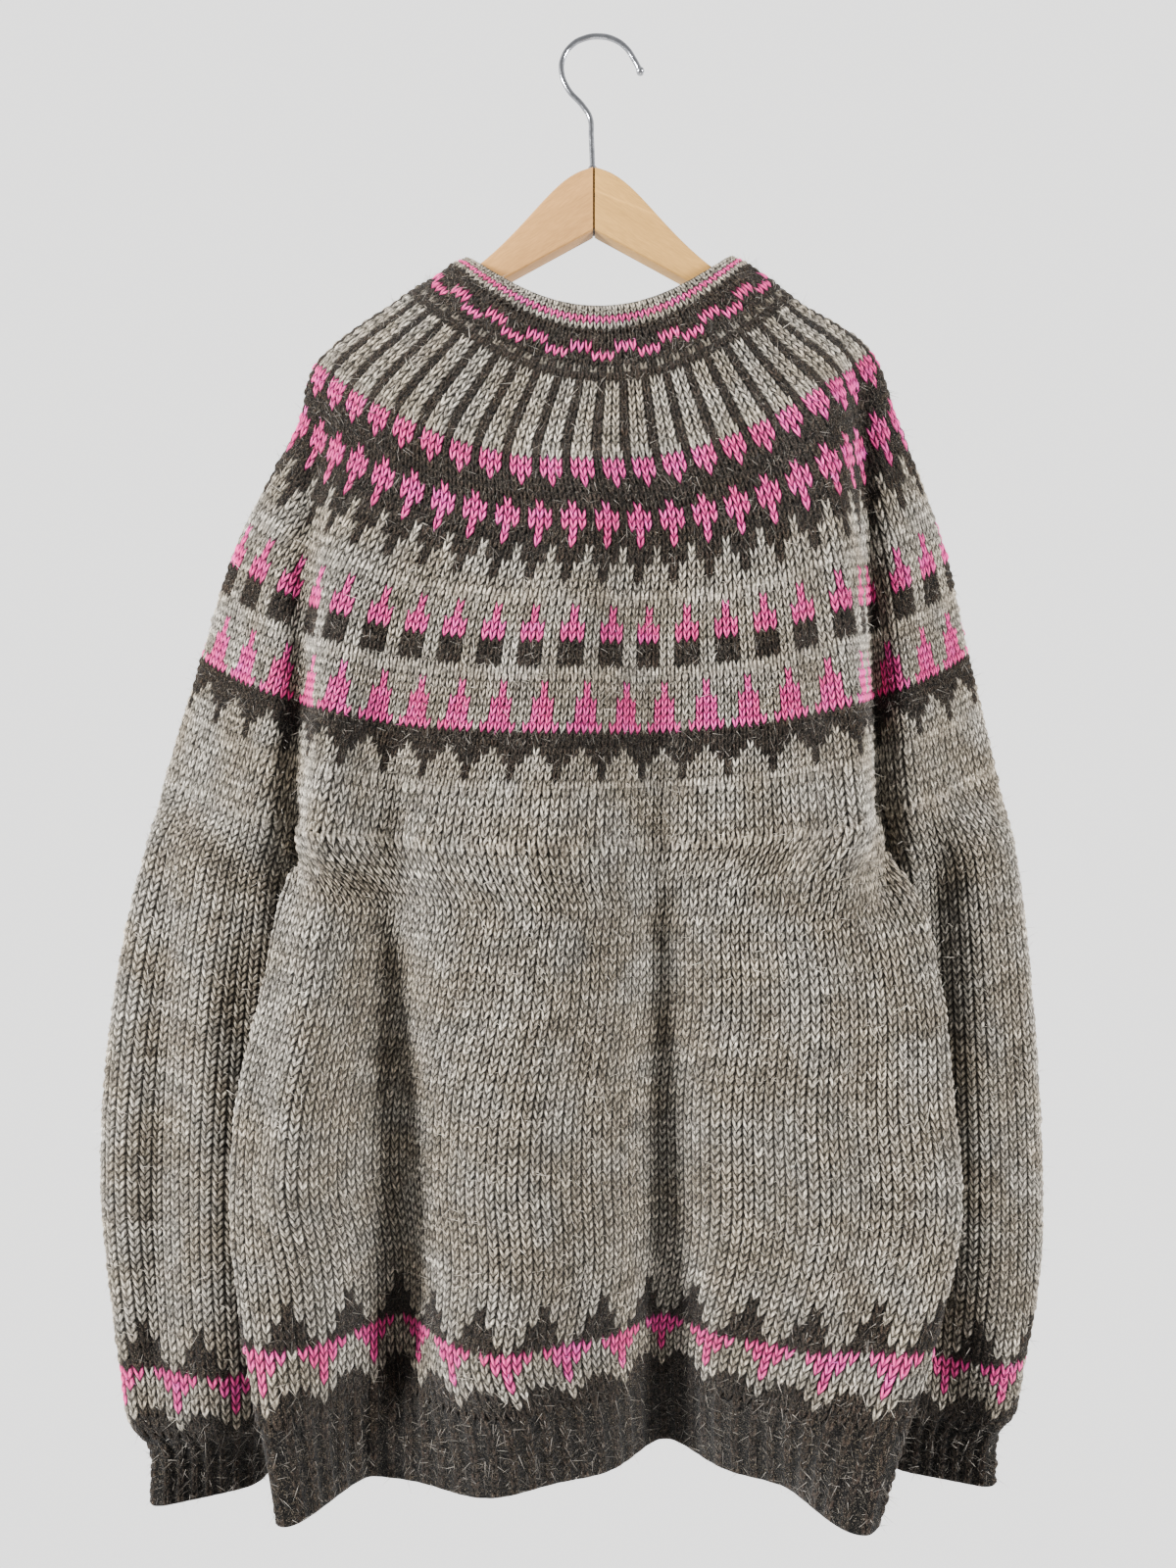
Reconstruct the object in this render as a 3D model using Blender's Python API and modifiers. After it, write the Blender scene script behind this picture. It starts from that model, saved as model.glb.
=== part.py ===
"""Bulky round-yoke knit cardigan hung on a wooden hanger, seen from its back.

Frame: metres, +Z up, -Y towards the cardigan's back, which faces the viewer, +Y towards its front opening.
The origin is the inner top of the hanger's hook. Tables are in millimetres.
"""

import math

import bmesh
import bpy
import numpy as np
from mathutils import Vector

MM = 0.001

# Cloth: a bulky knit, in millimetres
WALL = 4.0
SEAM_GAP = 0.3
SIDE_SEAM_GAP = 0.6
SPLIT_SEAM_GAP = 1.0
ROW_HEIGHT = 5.2
RIB_RAISE = 1.1

# Knitted rows, counted down from the neck edge, and in a sleeve down from the underarm
NECKBAND_ROWS = 3.4
SPLIT_ROW = 62
RIB_ROW = 125
HEM_ROW = 134
SLEEVE_CUFF_ROW = 75.6
SLEEVE_END_ROW = 84

# The cloth is cut into panels along these rows and turns, so that each solid bends little
YOKE_PANEL_ROW = 33.0
BODY_PANEL_ROW = 93.5
SLEEVE_PANEL_ROW = 33.0
BACK_PANELS = (("left", 0.0, 1 / 3), ("middle", 1 / 3, 2 / 3), ("right", 2 / 3, 1.0))

# Front opening
BAND_WIDTH = 36.0
BAND_OVERLAP = 6.0
BUTTON_COUNT = 7
BUTTON_RADIUS = 9.0
BUTTON_THICKNESS = 4.0
BUTTON_LIFT = 0.6
FIRST_BUTTON_ROW = 5.0
OUTER_BAND_LIFT = WALL + SEAM_GAP + RIB_RAISE

# Hanger and hook
WIRE_RADIUS = 1.6
WOOD_DEPTH = 12.0
CROWN_Z = -83.0
HOOK_FOOT_Z = -104.0
HOOK_FOOT_X = -0.7
SOCKET_CLEARANCE = 0.4

# A ring is one knitted row laid out in space: its left and right fold, how far its back and front middle hang below
# them, how far the two layers stand from the middle plane, and how the row rounds over at its folds.
RING_COLUMNS = (
    "row", "left_x", "left_y", "left_z", "right_x", "right_y", "right_z",
    "back_drop", "front_drop", "back_gap", "front_gap", "fold_gap", "sag_power", "fold_start", "fold_end",
)

YOKE_RINGS = (
    (0, -79, 0, -142.0, 86, 0, -141.0, 38, 70, 24, 20, 22, 2.0, 0.60, 1.00),
    (3, -89, 0, -146.0, 97, 0, -146.0, 50, 82, 27, 22, 24, 2.0, 0.60, 1.00),
    (5, -101, 0, -154.5, 109, 0, -154.5, 55, 86, 29, 23, 25, 2.0, 0.60, 1.00),
    (9, -120, 0, -166.0, 128, 0, -169.0, 65, 94, 33, 24, 26, 2.0, 0.60, 1.00),
    (18, -173, 0, -207.0, 173, 0, -199.5, 77, 98, 40, 25, 27, 2.1, 0.60, 1.00),
    (25, -184, 0, -243.0, 189, 0, -241.0, 75, 93, 45, 26, 28, 2.3, 0.60, 1.00),
    (37, -223, 0, -320.0, 218, 0, -320.0, 59, 72, 50, 27, 28, 2.5, 0.60, 1.00),
    (46, -240, 0, -374.0, 230, 0, -372.0, 52, 60, 53, 28, 27, 2.6, 0.60, 1.00),
    (54, -253, 0, -417.0, 240, 0, -414.0, 50, 55, 55, 28, 26, 2.6, 0.60, 1.00),
    (62, -268, 0, -465.5, 251, 0, -459.5, 44, 46, 56, 28, 24, 2.6, 0.60, 1.00),
)

BODY_RINGS = (
    (62, -178, -2, -491, 175, -2, -491, 15, 17, 56, 28, 12, 2.6, 0.62, 0.86),
    (66, -180, -17, -513, 177, -22, -513, 15, 17, 55, 28, 11, 2.6, 0.62, 0.86),
    (70, -186, -34, -535, 189, -42, -535, 14, 16, 54, 28, 10, 2.6, 0.62, 0.86),
    (80, -195, -44, -590, 203, -47, -590, 11, 13, 52, 29, 10, 2.6, 0.62, 0.86),
    (92, -209, -47, -655, 210, -48, -655, 8, 10, 50, 30, 10, 2.6, 0.62, 0.86),
    (104, -213, -48, -722, 215, -48, -722, 5, 7, 47, 31, 10, 2.6, 0.62, 0.86),
    (118, -203, -55, -798, 196, -58, -798, 2, 4, 44, 32, 10, 2.6, 0.66, 0.92),
    (125, -192, -65, -838, 179, -67, -838, 0, 2, 42, 32, 10, 2.6, 0.70, 0.96),
    (134, -177, -82, -884, 157, -82, -884, 0, 0, 40, 32, 10, 2.6, 0.72, 0.98),
)

LEFT_SLEEVE_RINGS = (
    (0, -268, 0, -465.5, -183, -2, -491, 3, 3, 27, 25, 24, 2.2, 0.6, 1.0),
    (8, -277, 0, -505, -186, 0, -533, 2, 2, 26, 25, 24, 2.2, 0.6, 1.0),
    (20, -292, -2, -571, -187, -1, -590, 1, 1, 25, 25, 24, 2.2, 0.6, 1.0),
    (34, -302, -3, -645, -189, -1, -655, 0, 0, 25, 26, 24, 2.2, 0.6, 1.0),
    (48, -305, -3, -717, -191, -1, -722, 0, 0, 25, 26, 24, 2.2, 0.6, 1.0),
    (60, -299, -5, -777, -194, -1, -782, 0, 0, 25, 25, 24, 2.2, 0.6, 1.0),
    (70, -289, -11, -832, -196, -3, -835, 0, 0, 24, 24, 23, 2.2, 0.6, 1.0),
    (75, -281, -18, -860, -199, -4, -862, 0, 0, 20, 20, 20, 2.2, 0.6, 1.0),
    (77, -271, -22, -869, -203, -5, -870, 0, 0, 15, 15, 15, 2.2, 0.6, 1.0),
    (84, -266, -29, -902, -204, -7, -900, 0, 0, 14, 14, 14, 2.2, 0.6, 1.0),
)

RIGHT_SLEEVE_RINGS = (
    (0, 180, -2, -491, 251, 0, -459.5, 3, 3, 27, 25, 24, 2.2, 0.6, 1.0),
    (8, 183, 0, -531, 260, 0, -503, 2, 2, 26, 25, 24, 2.2, 0.6, 1.0),
    (20, 184, -1, -588, 268, -2, -570, 1, 1, 25, 25, 24, 2.2, 0.6, 1.0),
    (34, 184, -1, -653, 274, -3, -645, 0, 0, 25, 26, 24, 2.2, 0.6, 1.0),
    (48, 184, -1, -720, 277, -3, -717, 0, 0, 25, 26, 24, 2.2, 0.6, 1.0),
    (60, 184, -1, -777, 274, -5, -775, 0, 0, 25, 25, 24, 2.2, 0.6, 1.0),
    (70, 184, -3, -827, 262, -11, -825, 0, 0, 24, 24, 23, 2.2, 0.6, 1.0),
    (75, 184, -4, -852, 253, -18, -850, 0, 0, 20, 20, 20, 2.2, 0.6, 1.0),
    (77, 184, -5, -860, 245, -22, -859, 0, 0, 15, 15, 15, 2.2, 0.6, 1.0),
    (84, 182, -7, -891, 240, -29, -890, 0, 0, 14, 14, 14, 2.2, 0.6, 1.0),
)

# A fold runs from its top to its low end, and fades out past each over FOLD_FADE. A negative push stands out to the
# viewer, a positive one sinks away.
FOLD_COLUMNS = ("top_x", "top_z", "low_x", "low_z", "top_width", "low_width", "top_push", "low_push")
FOLD_FADE = 70.0

BACK_FOLDS = {
    "left_armhole_valley": (-172, -270, -177, -495, 13, 12, 8, 20),
    "left_flare": (-158, -470, -176, -700, 15, 20, -8, -16),
    "left_trough": (-121, -390, -119, -800, 18, 24, 4, 34),
    "centre_ridge": (-8, -290, -62, -884, 30, 36, -9, -20),
    "left_shoulder_ridge": (-62, -300, -78, -620, 26, 30, -3, -7),
    "right_trough": (34, -400, 45, -884, 15, 27, 4, 40),
    "right_shoulder_ridge": (138, -250, 146, -500, 18, 22, -8, -22),
    "right_armhole_valley": (163, -250, 171, -492, 10, 11, 10, 30),
    "right_plateau": (128, -560, 132, -884, 26, 24, -10, -22),
}

FRONT_FOLDS = {
    "left_front_fold": (-92, -330, -104, -884, 24, 30, 5, 14),
    "left_front_trough": (-52, -420, -56, -884, 18, 20, -3, -8),
    "right_front_fold": (86, -340, 98, -884, 26, 28, 4, 12),
    "right_front_trough": (50, -450, 52, -884, 18, 18, -3, -7),
    "left_front_armhole": (-176, -280, -178, -495, 14, 14, -4, -10),
    "right_front_armhole": (172, -280, 176, -495, 14, 14, -4, -10),
}

SLEEVE_BACK_FOLDS = {
    "left_sleeve_ridge": (-236, -500, -228, -840, 14, 18, -5, -7),
    "left_sleeve_trough": (-263, -520, -268, -820, 11, 13, 5, 6),
    "right_sleeve_ridge": (232, -520, 240, -830, 14, 16, -5, -6),
    "right_sleeve_trough": (208, -500, 210, -800, 10, 12, 4, 6),
}

SLEEVE_FRONT_FOLDS = {
    "left_sleeve_hollow": (-246, -560, -240, -840, 16, 18, -4, -6),
    "right_sleeve_hollow": (236, -560, 234, -830, 16, 18, -4, -6),
}

# The hanger's left arm from its centre to its tip: the heights of its top and underside at each distance out
ARM_SIDES = 12
ARM_SQUARENESS = 0.55
ARM_COLUMNS = ("out", "top_z", "low_z", "depth")
ARM_SECTIONS = (
    (SEAM_GAP / 2, CROWN_Z, -123, WOOD_DEPTH),
    (10, -85, -128.6, WOOD_DEPTH),
    (20, -92, -134, WOOD_DEPTH),
    (30, -102, -139.4, WOOD_DEPTH),
    (40, -113.5, -144.9, WOOD_DEPTH),
    (52, -126.5, -151.5, WOOD_DEPTH),
    (64, -138, -158, WOOD_DEPTH),
    (76, -148, -165, WOOD_DEPTH),
    (92, -157.5, -174.5, WOOD_DEPTH),
    (112, -169, -187, WOOD_DEPTH),
    (132, -181, -199, WOOD_DEPTH),
    (150, -193.5, -210, WOOD_DEPTH),
    (160, -202, -214, 9),
    (165, -207, -213, 5),
)

# The hook's wire: its centre line from its foot in the wood to its tip
HOOK_COLUMNS = ("x", "z")
HOOK_ROUTE = (
    (HOOK_FOOT_X, HOOK_FOOT_Z), (-0.8, -84), (-1.6, -62), (-2.4, -50), (-6.8, -42.5), (-16.4, -31.5), (-20.4, -20.5),
    (-19.4, -12.0), (-13.8, -3.8), (-6.0, 0.4), (3.0, 1.7), (12.5, -0.2), (20.4, -5.6), (25.6, -13.2), (29.4, -20.4),
)

# Colours and finishes, as linear values
MATERIALS = {
    "grey_wool": ((0.30, 0.27, 0.24), 0.95, 0.0),
    "dark_wool": ((0.055, 0.045, 0.037), 0.95, 0.0),
    "wood": ((0.72, 0.48, 0.27), 0.45, 0.0),
    "steel": ((0.70, 0.71, 0.73), 0.18, 1.0),
    "button_horn": ((0.09, 0.07, 0.055), 0.40, 0.0),
}

# How rows are worked out: points along a layer, how square the folds at its ends are, how full its sag is, and over
# how many rows the body and sleeves grow out of the yoke's last row
SAMPLES = 240
EDGE_ROUND = 8
SAG_ROUND = 0.9
SPLIT_FADE_ROWS = 9.0
CORNER_SOFTENING = 14

# Each underarm: X of its two seams, first the one nearer the left
ARMPIT_LEFT = (-183.0, -178.2)
ARMPIT_RIGHT = (175.2, 180.0)


def clear_scene():
    for obj in list(bpy.data.objects):
        bpy.data.objects.remove(obj, do_unlink=True)


def smooth(value):
    value = np.clip(value, 0.0, 1.0)
    return value * value * (3 - 2 * value)


def ring_at(table, row):
    """The table's columns at any row, on a smooth curve through its rings."""
    knots = np.array([ring[0] for ring in table], float)
    values = np.array(table, float)
    row = min(max(row, knots[0]), knots[-1])
    index = min(int(np.searchsorted(knots, row, side="right")) - 1, len(knots) - 2)
    secants = np.diff(values, axis=0) / np.diff(knots)[:, None]
    slopes = np.vstack([secants[:1], (secants[1:] + secants[:-1]) / 2, secants[-1:]])
    span = knots[index + 1] - knots[index]
    s = (row - knots[index]) / span
    value = (
        (2 * s**3 - 3 * s**2 + 1) * values[index]
        + (s**3 - 2 * s**2 + s) * span * slopes[index]
        + (3 * s**2 - 2 * s**3) * values[index + 1]
        + (s**3 - s**2) * span * slopes[index + 1]
    )
    return dict(zip(RING_COLUMNS, value))


def fold_push(folds, x, z):
    """How far the folds move the cloth at each point, along Y."""
    push = np.zeros_like(x)
    for row in folds.values():
        fold = dict(zip(FOLD_COLUMNS, row))
        along = np.clip((fold["top_z"] - z) / (fold["top_z"] - fold["low_z"]), 0.0, 1.0)
        centre = fold["top_x"] + (fold["low_x"] - fold["top_x"]) * along
        width = fold["top_width"] + (fold["low_width"] - fold["top_width"]) * along
        height = fold["top_push"] + (fold["low_push"] - fold["top_push"]) * along
        fade = smooth((fold["top_z"] + FOLD_FADE - z) / FOLD_FADE) * smooth((z - fold["low_z"] + FOLD_FADE) / FOLD_FADE)
        push += height * fade * np.exp(-(((x - centre) / width) ** 2))
    return push


def evenly(line, count=SAMPLES):
    """The same line with its points an even distance apart."""
    steps = np.linalg.norm(np.diff(line, axis=0), axis=1)
    run = np.concatenate([[0.0], np.cumsum(steps)])
    wanted = np.linspace(0.0, run[-1], count)
    return np.stack([np.interp(wanted, run, line[:, axis]) for axis in range(3)], axis=1)


def half_row(table, row, front, folds, leans):
    """One layer of a row: its back from left to right, or its front from right to left."""
    ring = ring_at(table, row)
    t = -np.cos(np.linspace(0.0, math.pi, SAMPLES))
    if front:
        t = -t
    share = (t + 1) / 2
    x = ring["left_x"] + (ring["right_x"] - ring["left_x"]) * share
    middle = ring["left_y"] + (ring["right_y"] - ring["left_y"]) * share
    drop = ring["front_drop"] if front else ring["back_drop"]
    level = ring["left_z"] + (ring["right_z"] - ring["left_z"]) * share
    z = level - drop * (1 - np.abs(t) ** ring["sag_power"]) ** SAG_ROUND
    fold = smooth((np.abs(t) - ring["fold_start"]) / (ring["fold_end"] - ring["fold_start"]))
    gap = ring["front_gap"] if front else ring["back_gap"]
    closing = np.sqrt(1 - np.abs(t) ** EDGE_ROUND)
    reach = (gap + (ring["fold_gap"] - gap) * fold) * closing
    y = middle * (1.0 if leans else fold) + (reach if front else -reach)
    y = y + fold_push(folds, x, z) * closing
    return evenly(np.stack([x, y, z], axis=1))


def between(line, low, high):
    """The stretch of a line whose X lies between two values, with its ends exactly on them."""
    rising = line[-1, 0] > line[0, 0]
    line = line if rising else line[::-1]
    ends = [
        [np.interp(value, line[:, 0], line[:, axis]) for axis in range(3)] for value in (low, high)
    ]
    inside = line[(line[:, 0] > low) & (line[:, 0] < high)]
    stretch = np.vstack([ends[:1], inside, ends[1:]])
    return stretch if rising else stretch[::-1]


class Tube:
    """A knitted tube: its rings, its folds, and the row it is knitted on from."""

    def __init__(self, table, back_folds, front_folds, leans=False, start=None):
        self.table = table
        self.folds = (back_folds, front_folds)
        self.leans = leans
        self.first = table[0][0]
        self.last = table[-1][0]
        self.shift = None
        self.kept = {}
        if start is not None:
            plain = self.layers(self.first)
            self.shift = [wanted - unjoined for wanted, unjoined in zip(start, plain)]
            self.kept = {}

    def layers(self, row):
        row = min(max(row, self.first), self.last)
        key = round(row, 4)
        if key not in self.kept:
            layers = [
                half_row(self.table, row, front, self.folds[front], self.leans) for front in (False, True)
            ]
            if self.shift is not None:
                left = 1 - smooth(np.array((row - self.first) / SPLIT_FADE_ROWS))
                layers = [layer + left * shift for layer, shift in zip(layers, self.shift)]
            self.kept[key] = layers
        return self.kept[key]

    def place(self, row, turns):
        """Points of a row at turns round the tube: 0 to 1 along its back, 1 to 2 along its front."""
        back, front = self.layers(row)
        loop = np.vstack([back[:-1], front])
        around = np.linspace(0.0, 2.0, len(loop))
        turns = np.mod(turns, 2.0)
        return np.stack([np.interp(turns, around, loop[:, axis]) for axis in range(3)], axis=1)

    def turn_at_x(self, row, x):
        """The turn on the front layer that lies at X."""
        front = self.layers(row)[1]
        return 1.0 + float(np.interp(-x, -front[:, 0], np.linspace(0.0, 1.0, len(front))))

    def outward(self, row, turns, level):
        """Unit normals, the same on both sides of a side seam. A level one has no slope, for a row that is joined."""
        step = 0.006
        seams = np.round(turns)
        turns = np.where(np.abs(turns - seams) < step, seams, turns)
        along = self.place(row, turns + step) - self.place(row, turns - step)
        if level:
            down = np.tile([0.0, 0.0, -1.0], (len(turns), 1))
        else:
            down = self.place(row + 0.5, turns) - self.place(row - 0.5, turns)
        normal = np.cross(down, along)
        return normal / np.linalg.norm(normal, axis=1)[:, None]


def underarm(tube, x):
    """The middle of an underarm at X: halfway between the back and the front of the yoke's last row."""
    back, front = tube.layers(SPLIT_ROW)
    rising = front[::-1]
    near = np.array([np.interp(x, back[:, 0], back[:, axis]) for axis in range(3)])
    far = np.array([np.interp(x, rising[:, 0], rising[:, axis]) for axis in range(3)])
    return (near + far) / 2


def soften(line):
    """The line with its corners rounded and its ends kept."""
    line = line.copy()
    for _ in range(CORNER_SOFTENING):
        line[1:-1] = (line[:-2] + 2 * line[1:-1] + line[2:]) / 4
    return line


def split_rows(yoke):
    """The first row of the body and of each sleeve, taken from the yoke's last row and closed under the arm."""
    back, front = yoke.layers(SPLIT_ROW)
    left_out, left_in = ARMPIT_LEFT
    right_in, right_out = ARMPIT_RIGHT
    far_left, far_right = back[0, 0], back[-1, 0]

    def closed(line, before=None, after=None):
        parts = [line]
        if before is not None:
            parts.insert(0, before[None, :])
        if after is not None:
            parts.append(after[None, :])
        return soften(evenly(np.vstack(parts)))

    body_left, body_right = underarm(yoke, left_in), underarm(yoke, right_in)
    body = (
        closed(between(back, left_in, right_in), body_left, body_right),
        closed(between(front, left_in, right_in), body_right, body_left),
    )
    left_inner, right_inner = underarm(yoke, left_out), underarm(yoke, right_out)
    left = (
        closed(between(back, far_left, left_out), None, left_inner),
        closed(between(front, far_left, left_out), left_inner, None),
    )
    right = (
        closed(between(back, right_out, far_right), right_inner, None),
        closed(between(front, right_out, far_right), None, right_inner),
    )
    return body, left, right


def material(slot):
    made = bpy.data.materials.new(slot)
    colour, roughness, metallic = MATERIALS[slot]
    made.use_nodes = True
    shader = made.node_tree.nodes["Principled BSDF"]
    shader.inputs["Base Color"].default_value = (*colour, 1.0)
    shader.inputs["Roughness"].default_value = roughness
    shader.inputs["Metallic"].default_value = metallic
    made.diffuse_color = (*colour, 1.0)
    return made


def add_object(collection, name, mesh, slot):
    mesh.shade_smooth()
    mesh.materials.append(material(slot))
    obj = bpy.data.objects.new(name, mesh)
    collection.objects.link(obj)
    return obj


def shell_mesh(name, outer, inner, closed_round):
    """A wall between an outer and an inner grid of points, closed along its edges."""
    rows, columns = outer.shape[:2]
    bm = bmesh.new()
    out = [[bm.verts.new(point * MM) for point in line] for line in outer]
    ins = [[bm.verts.new(point * MM) for point in line] for line in inner]
    last = columns if closed_round else columns - 1
    for row in range(rows - 1):
        for column in range(last):
            after = (column + 1) % columns
            for grid in (out, ins):
                corners = (grid[row][column], grid[row][after], grid[row + 1][after], grid[row + 1][column])
                bm.faces.new(corners if grid is out else corners[::-1])
    for column in range(last):
        after = (column + 1) % columns
        bm.faces.new((out[0][after], out[0][column], ins[0][column], ins[0][after]))
        bm.faces.new((out[-1][column], out[-1][after], ins[-1][after], ins[-1][column]))
    if not closed_round:
        # Both sides of a seam are split along the same diagonal, so that their edges stay apart.
        for row in range(rows - 1):
            for column in (0, -1):
                bm.faces.new((out[row][column], out[row + 1][column], ins[row + 1][column]))
                bm.faces.new((out[row][column], ins[row + 1][column], ins[row][column]))
    bmesh.ops.recalc_face_normals(bm, faces=bm.faces)
    mesh = bpy.data.meshes.new(name)
    bm.to_mesh(mesh)
    bm.free()
    return mesh


def cloth(collection, name, slot, tube, rows, turns_at, closed_round=False, ribs=False, lift=0.0, level_rows=()):
    """A knitted wall over the given rows. turns_at gives the turns of a row's columns."""
    outer, inner = [], []
    for row in rows:
        turns = turns_at(row)
        middle = tube.place(row, turns)
        normal = tube.outward(row, turns, row in level_rows)
        raised = np.zeros(len(turns))
        if ribs:
            raised[::2] = RIB_RAISE
        outer.append(middle + normal * (WALL / 2 + lift + raised)[:, None])
        inner.append(middle - normal * (WALL / 2 - lift))
    return add_object(
        collection, name, shell_mesh(name, np.array(outer), np.array(inner), closed_round), slot
    )


def rows_between(first, last, count):
    return list(np.linspace(first, last, count))


def row_panels(rows, cut_row):
    """The rows above a cut and those below it, a seam's gap apart."""
    upper = [row for row in rows if row < cut_row - 1] + [cut_row - SIDE_SEAM_GAP / ROW_HEIGHT]
    lower = [cut_row] + [row for row in rows if row > cut_row + 1]
    return (("upper", upper), ("lower", lower))


def side_gap(tube, row):
    """Half a seam's gap, as a share of one layer."""
    back = tube.layers(row)[0]
    return SIDE_SEAM_GAP / 2 / np.linalg.norm(np.diff(back, axis=0), axis=1).sum()


def turns_between(tube, first, last, count):
    """Columns between two turns, half a seam's gap in from each."""
    return lambda row: np.linspace(first + side_gap(tube, row), last - side_gap(tube, row), count)


def front_turns(tube, side, count):
    """The columns of a front: from its side fold to the edge of the button band."""
    edge = BAND_WIDTH / 2 + SEAM_GAP / 2

    def turns(row):
        if side == "right":
            return np.linspace(1 + side_gap(tube, row), tube.turn_at_x(row, edge), count)
        return np.linspace(tube.turn_at_x(row, -edge), 2 - side_gap(tube, row), count)

    return turns


def whole_turns(count):
    return lambda row: np.arange(count) * 2.0 / count


def make_neckband(collection, yoke):
    edge = BAND_WIDTH / 2 + SEAM_GAP / 2
    rows = rows_between(yoke.first, NECKBAND_ROWS - SEAM_GAP / ROW_HEIGHT, 3)

    def turns(row):
        return np.linspace(yoke.turn_at_x(row, -edge) - 2.0, yoke.turn_at_x(row, edge), 45)

    cloth(collection, "neckband", "grey_wool", yoke, rows, turns)


def make_panels(collection, name, tube, panels, joined):
    """The back in three panels across and each front in one, over each set of rows."""
    for level, rows in panels:
        for side, first, last in BACK_PANELS:
            turns = turns_between(tube, first, last, 14)
            cloth(collection, f"{name}_{level}_back_{side}", "grey_wool", tube, rows, turns, level_rows=joined)
        for side in ("left", "right"):
            turns = front_turns(tube, side, 17)
            cloth(collection, f"{name}_{level}_front_{side}", "grey_wool", tube, rows, turns, level_rows=joined)


def make_yoke(collection, yoke):
    rows = rows_between(NECKBAND_ROWS, SPLIT_ROW - SPLIT_SEAM_GAP / ROW_HEIGHT, 11)
    joined = (rows[-1],)
    make_panels(collection, "yoke", yoke, row_panels(rows, YOKE_PANEL_ROW), joined)


def make_body(collection, body):
    rows = [float(SPLIT_ROW), 64.5, 67, 70, 75] + rows_between(83, RIB_ROW - SEAM_GAP / ROW_HEIGHT, 5)
    joined = (rows[0], rows[-1])
    make_panels(collection, "body", body, row_panels(rows, BODY_PANEL_ROW), joined)


def make_hem(collection, body):
    rows = rows_between(RIB_ROW, HEM_ROW, 3)
    joined = (rows[0],)
    turns = turns_between(body, 0.0, 1.0, 65)
    cloth(collection, "hem_rib_back", "dark_wool", body, rows, turns, ribs=True, level_rows=joined)
    for side in ("left", "right"):
        turns = front_turns(body, side, 27)
        cloth(collection, f"hem_rib_front_{side}", "dark_wool", body, rows, turns, ribs=True, level_rows=joined)


def make_sleeve(collection, side, tube):
    rows = [0.0, 3, 6.5, 12, 21, 33, 47, 60, 69, SLEEVE_CUFF_ROW - SEAM_GAP / ROW_HEIGHT]
    joined = (rows[0], rows[-1])
    for level, panel_rows in row_panels(rows, SLEEVE_PANEL_ROW):
        for layer, first, last in (("back", 0.0, 1.0), ("front", 1.0, 2.0)):
            turns = turns_between(tube, first, last, 13)
            name = f"sleeve_{side}_{level}_{layer}"
            cloth(collection, name, "grey_wool", tube, panel_rows, turns, level_rows=joined)
    rows = [SLEEVE_CUFF_ROW, 78.0, float(SLEEVE_END_ROW)]
    turns = whole_turns(36)
    cloth(collection, f"cuff_{side}", "dark_wool", tube, rows, turns, closed_round=True, ribs=True, level_rows=rows[:1])


def make_bands(collection, yoke, body):
    """The left band fills the gap between the fronts. The right one lies over it and over the right front's edge."""
    rows = [0.0, 4, 9, 16, 25, 36, 48, 59, 66, 76, 87, 98, 109, 120, 128, float(HEM_ROW)]
    half = BAND_WIDTH / 2 - SEAM_GAP / 2
    bands = (
        ("button_band_left", half, -half, 0.0),
        ("button_band_right", half + BAND_OVERLAP, -half, OUTER_BAND_LIFT),
    )
    for name, right_edge, left_edge, lift in bands:
        outer, inner = [], []
        for row in rows:
            tube = yoke if row < SPLIT_ROW else body
            turns = np.linspace(tube.turn_at_x(row, right_edge), tube.turn_at_x(row, left_edge), 4)
            middle = tube.place(row, turns)
            normal = tube.outward(row, turns, True)
            outer.append(middle + normal * (WALL / 2 + lift))
            inner.append(middle - normal * (WALL / 2 - lift))
        mesh = shell_mesh(name, np.array(outer), np.array(inner), False)
        add_object(collection, name, mesh, "dark_wool")


def make_buttons(collection, yoke, body):
    """Turned buttons with a low domed rim, an even distance apart down the outer band."""
    last = HEM_ROW - FIRST_BUTTON_ROW
    lift = WALL / 2 + OUTER_BAND_LIFT + BUTTON_LIFT
    for number in range(BUTTON_COUNT):
        row = FIRST_BUTTON_ROW + (last - FIRST_BUTTON_ROW) * number / (BUTTON_COUNT - 1)
        tube = yoke if row < SPLIT_ROW else body
        turn = np.array([tube.turn_at_x(row, 0.0)])
        seat = tube.place(row, turn)[0] + tube.outward(row, turn, True)[0] * lift
        name = f"button_{number + 1}"
        profile = (
            (0.0, BUTTON_THICKNESS),
            (BUTTON_RADIUS * 0.78, BUTTON_THICKNESS),
            (BUTTON_RADIUS * 0.94, BUTTON_THICKNESS * 0.85),
            (BUTTON_RADIUS, BUTTON_THICKNESS * 0.5),
            (BUTTON_RADIUS * 0.8, 0.0),
            (0.0, 0.0),
        )
        mesh = bpy.data.meshes.new(name)
        points = [(radius * MM, 0.0, height * MM) for radius, height in profile]
        mesh.from_pydata(points, [(i, i + 1) for i in range(len(points) - 1)], [])
        obj = add_object(collection, name, mesh, "button_horn")
        turned = obj.modifiers.new("turned", "SCREW")
        turned.steps = 16
        turned.render_steps = 16
        turned.use_merge_vertices = True
        turned.merge_threshold = 0.00001
        obj.location = Vector(seat) * MM
        obj.rotation_euler = (-math.pi / 2, 0.0, 0.0)


def arm_section(top, low, depth):
    """Points round a block with rounded edges: the arm cut through at one place, as (y, z)."""
    height = (top - low) / 2
    centre = (top + low) / 2
    points = []
    for number in range(ARM_SIDES):
        angle = 2 * math.pi * (number + 0.5) / ARM_SIDES
        across, up = math.cos(angle), math.sin(angle)
        squared = max(abs(across), abs(up)) ** ARM_SQUARENESS
        points.append((across / squared * depth / 2, centre + up / squared * height))
    return points


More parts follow.
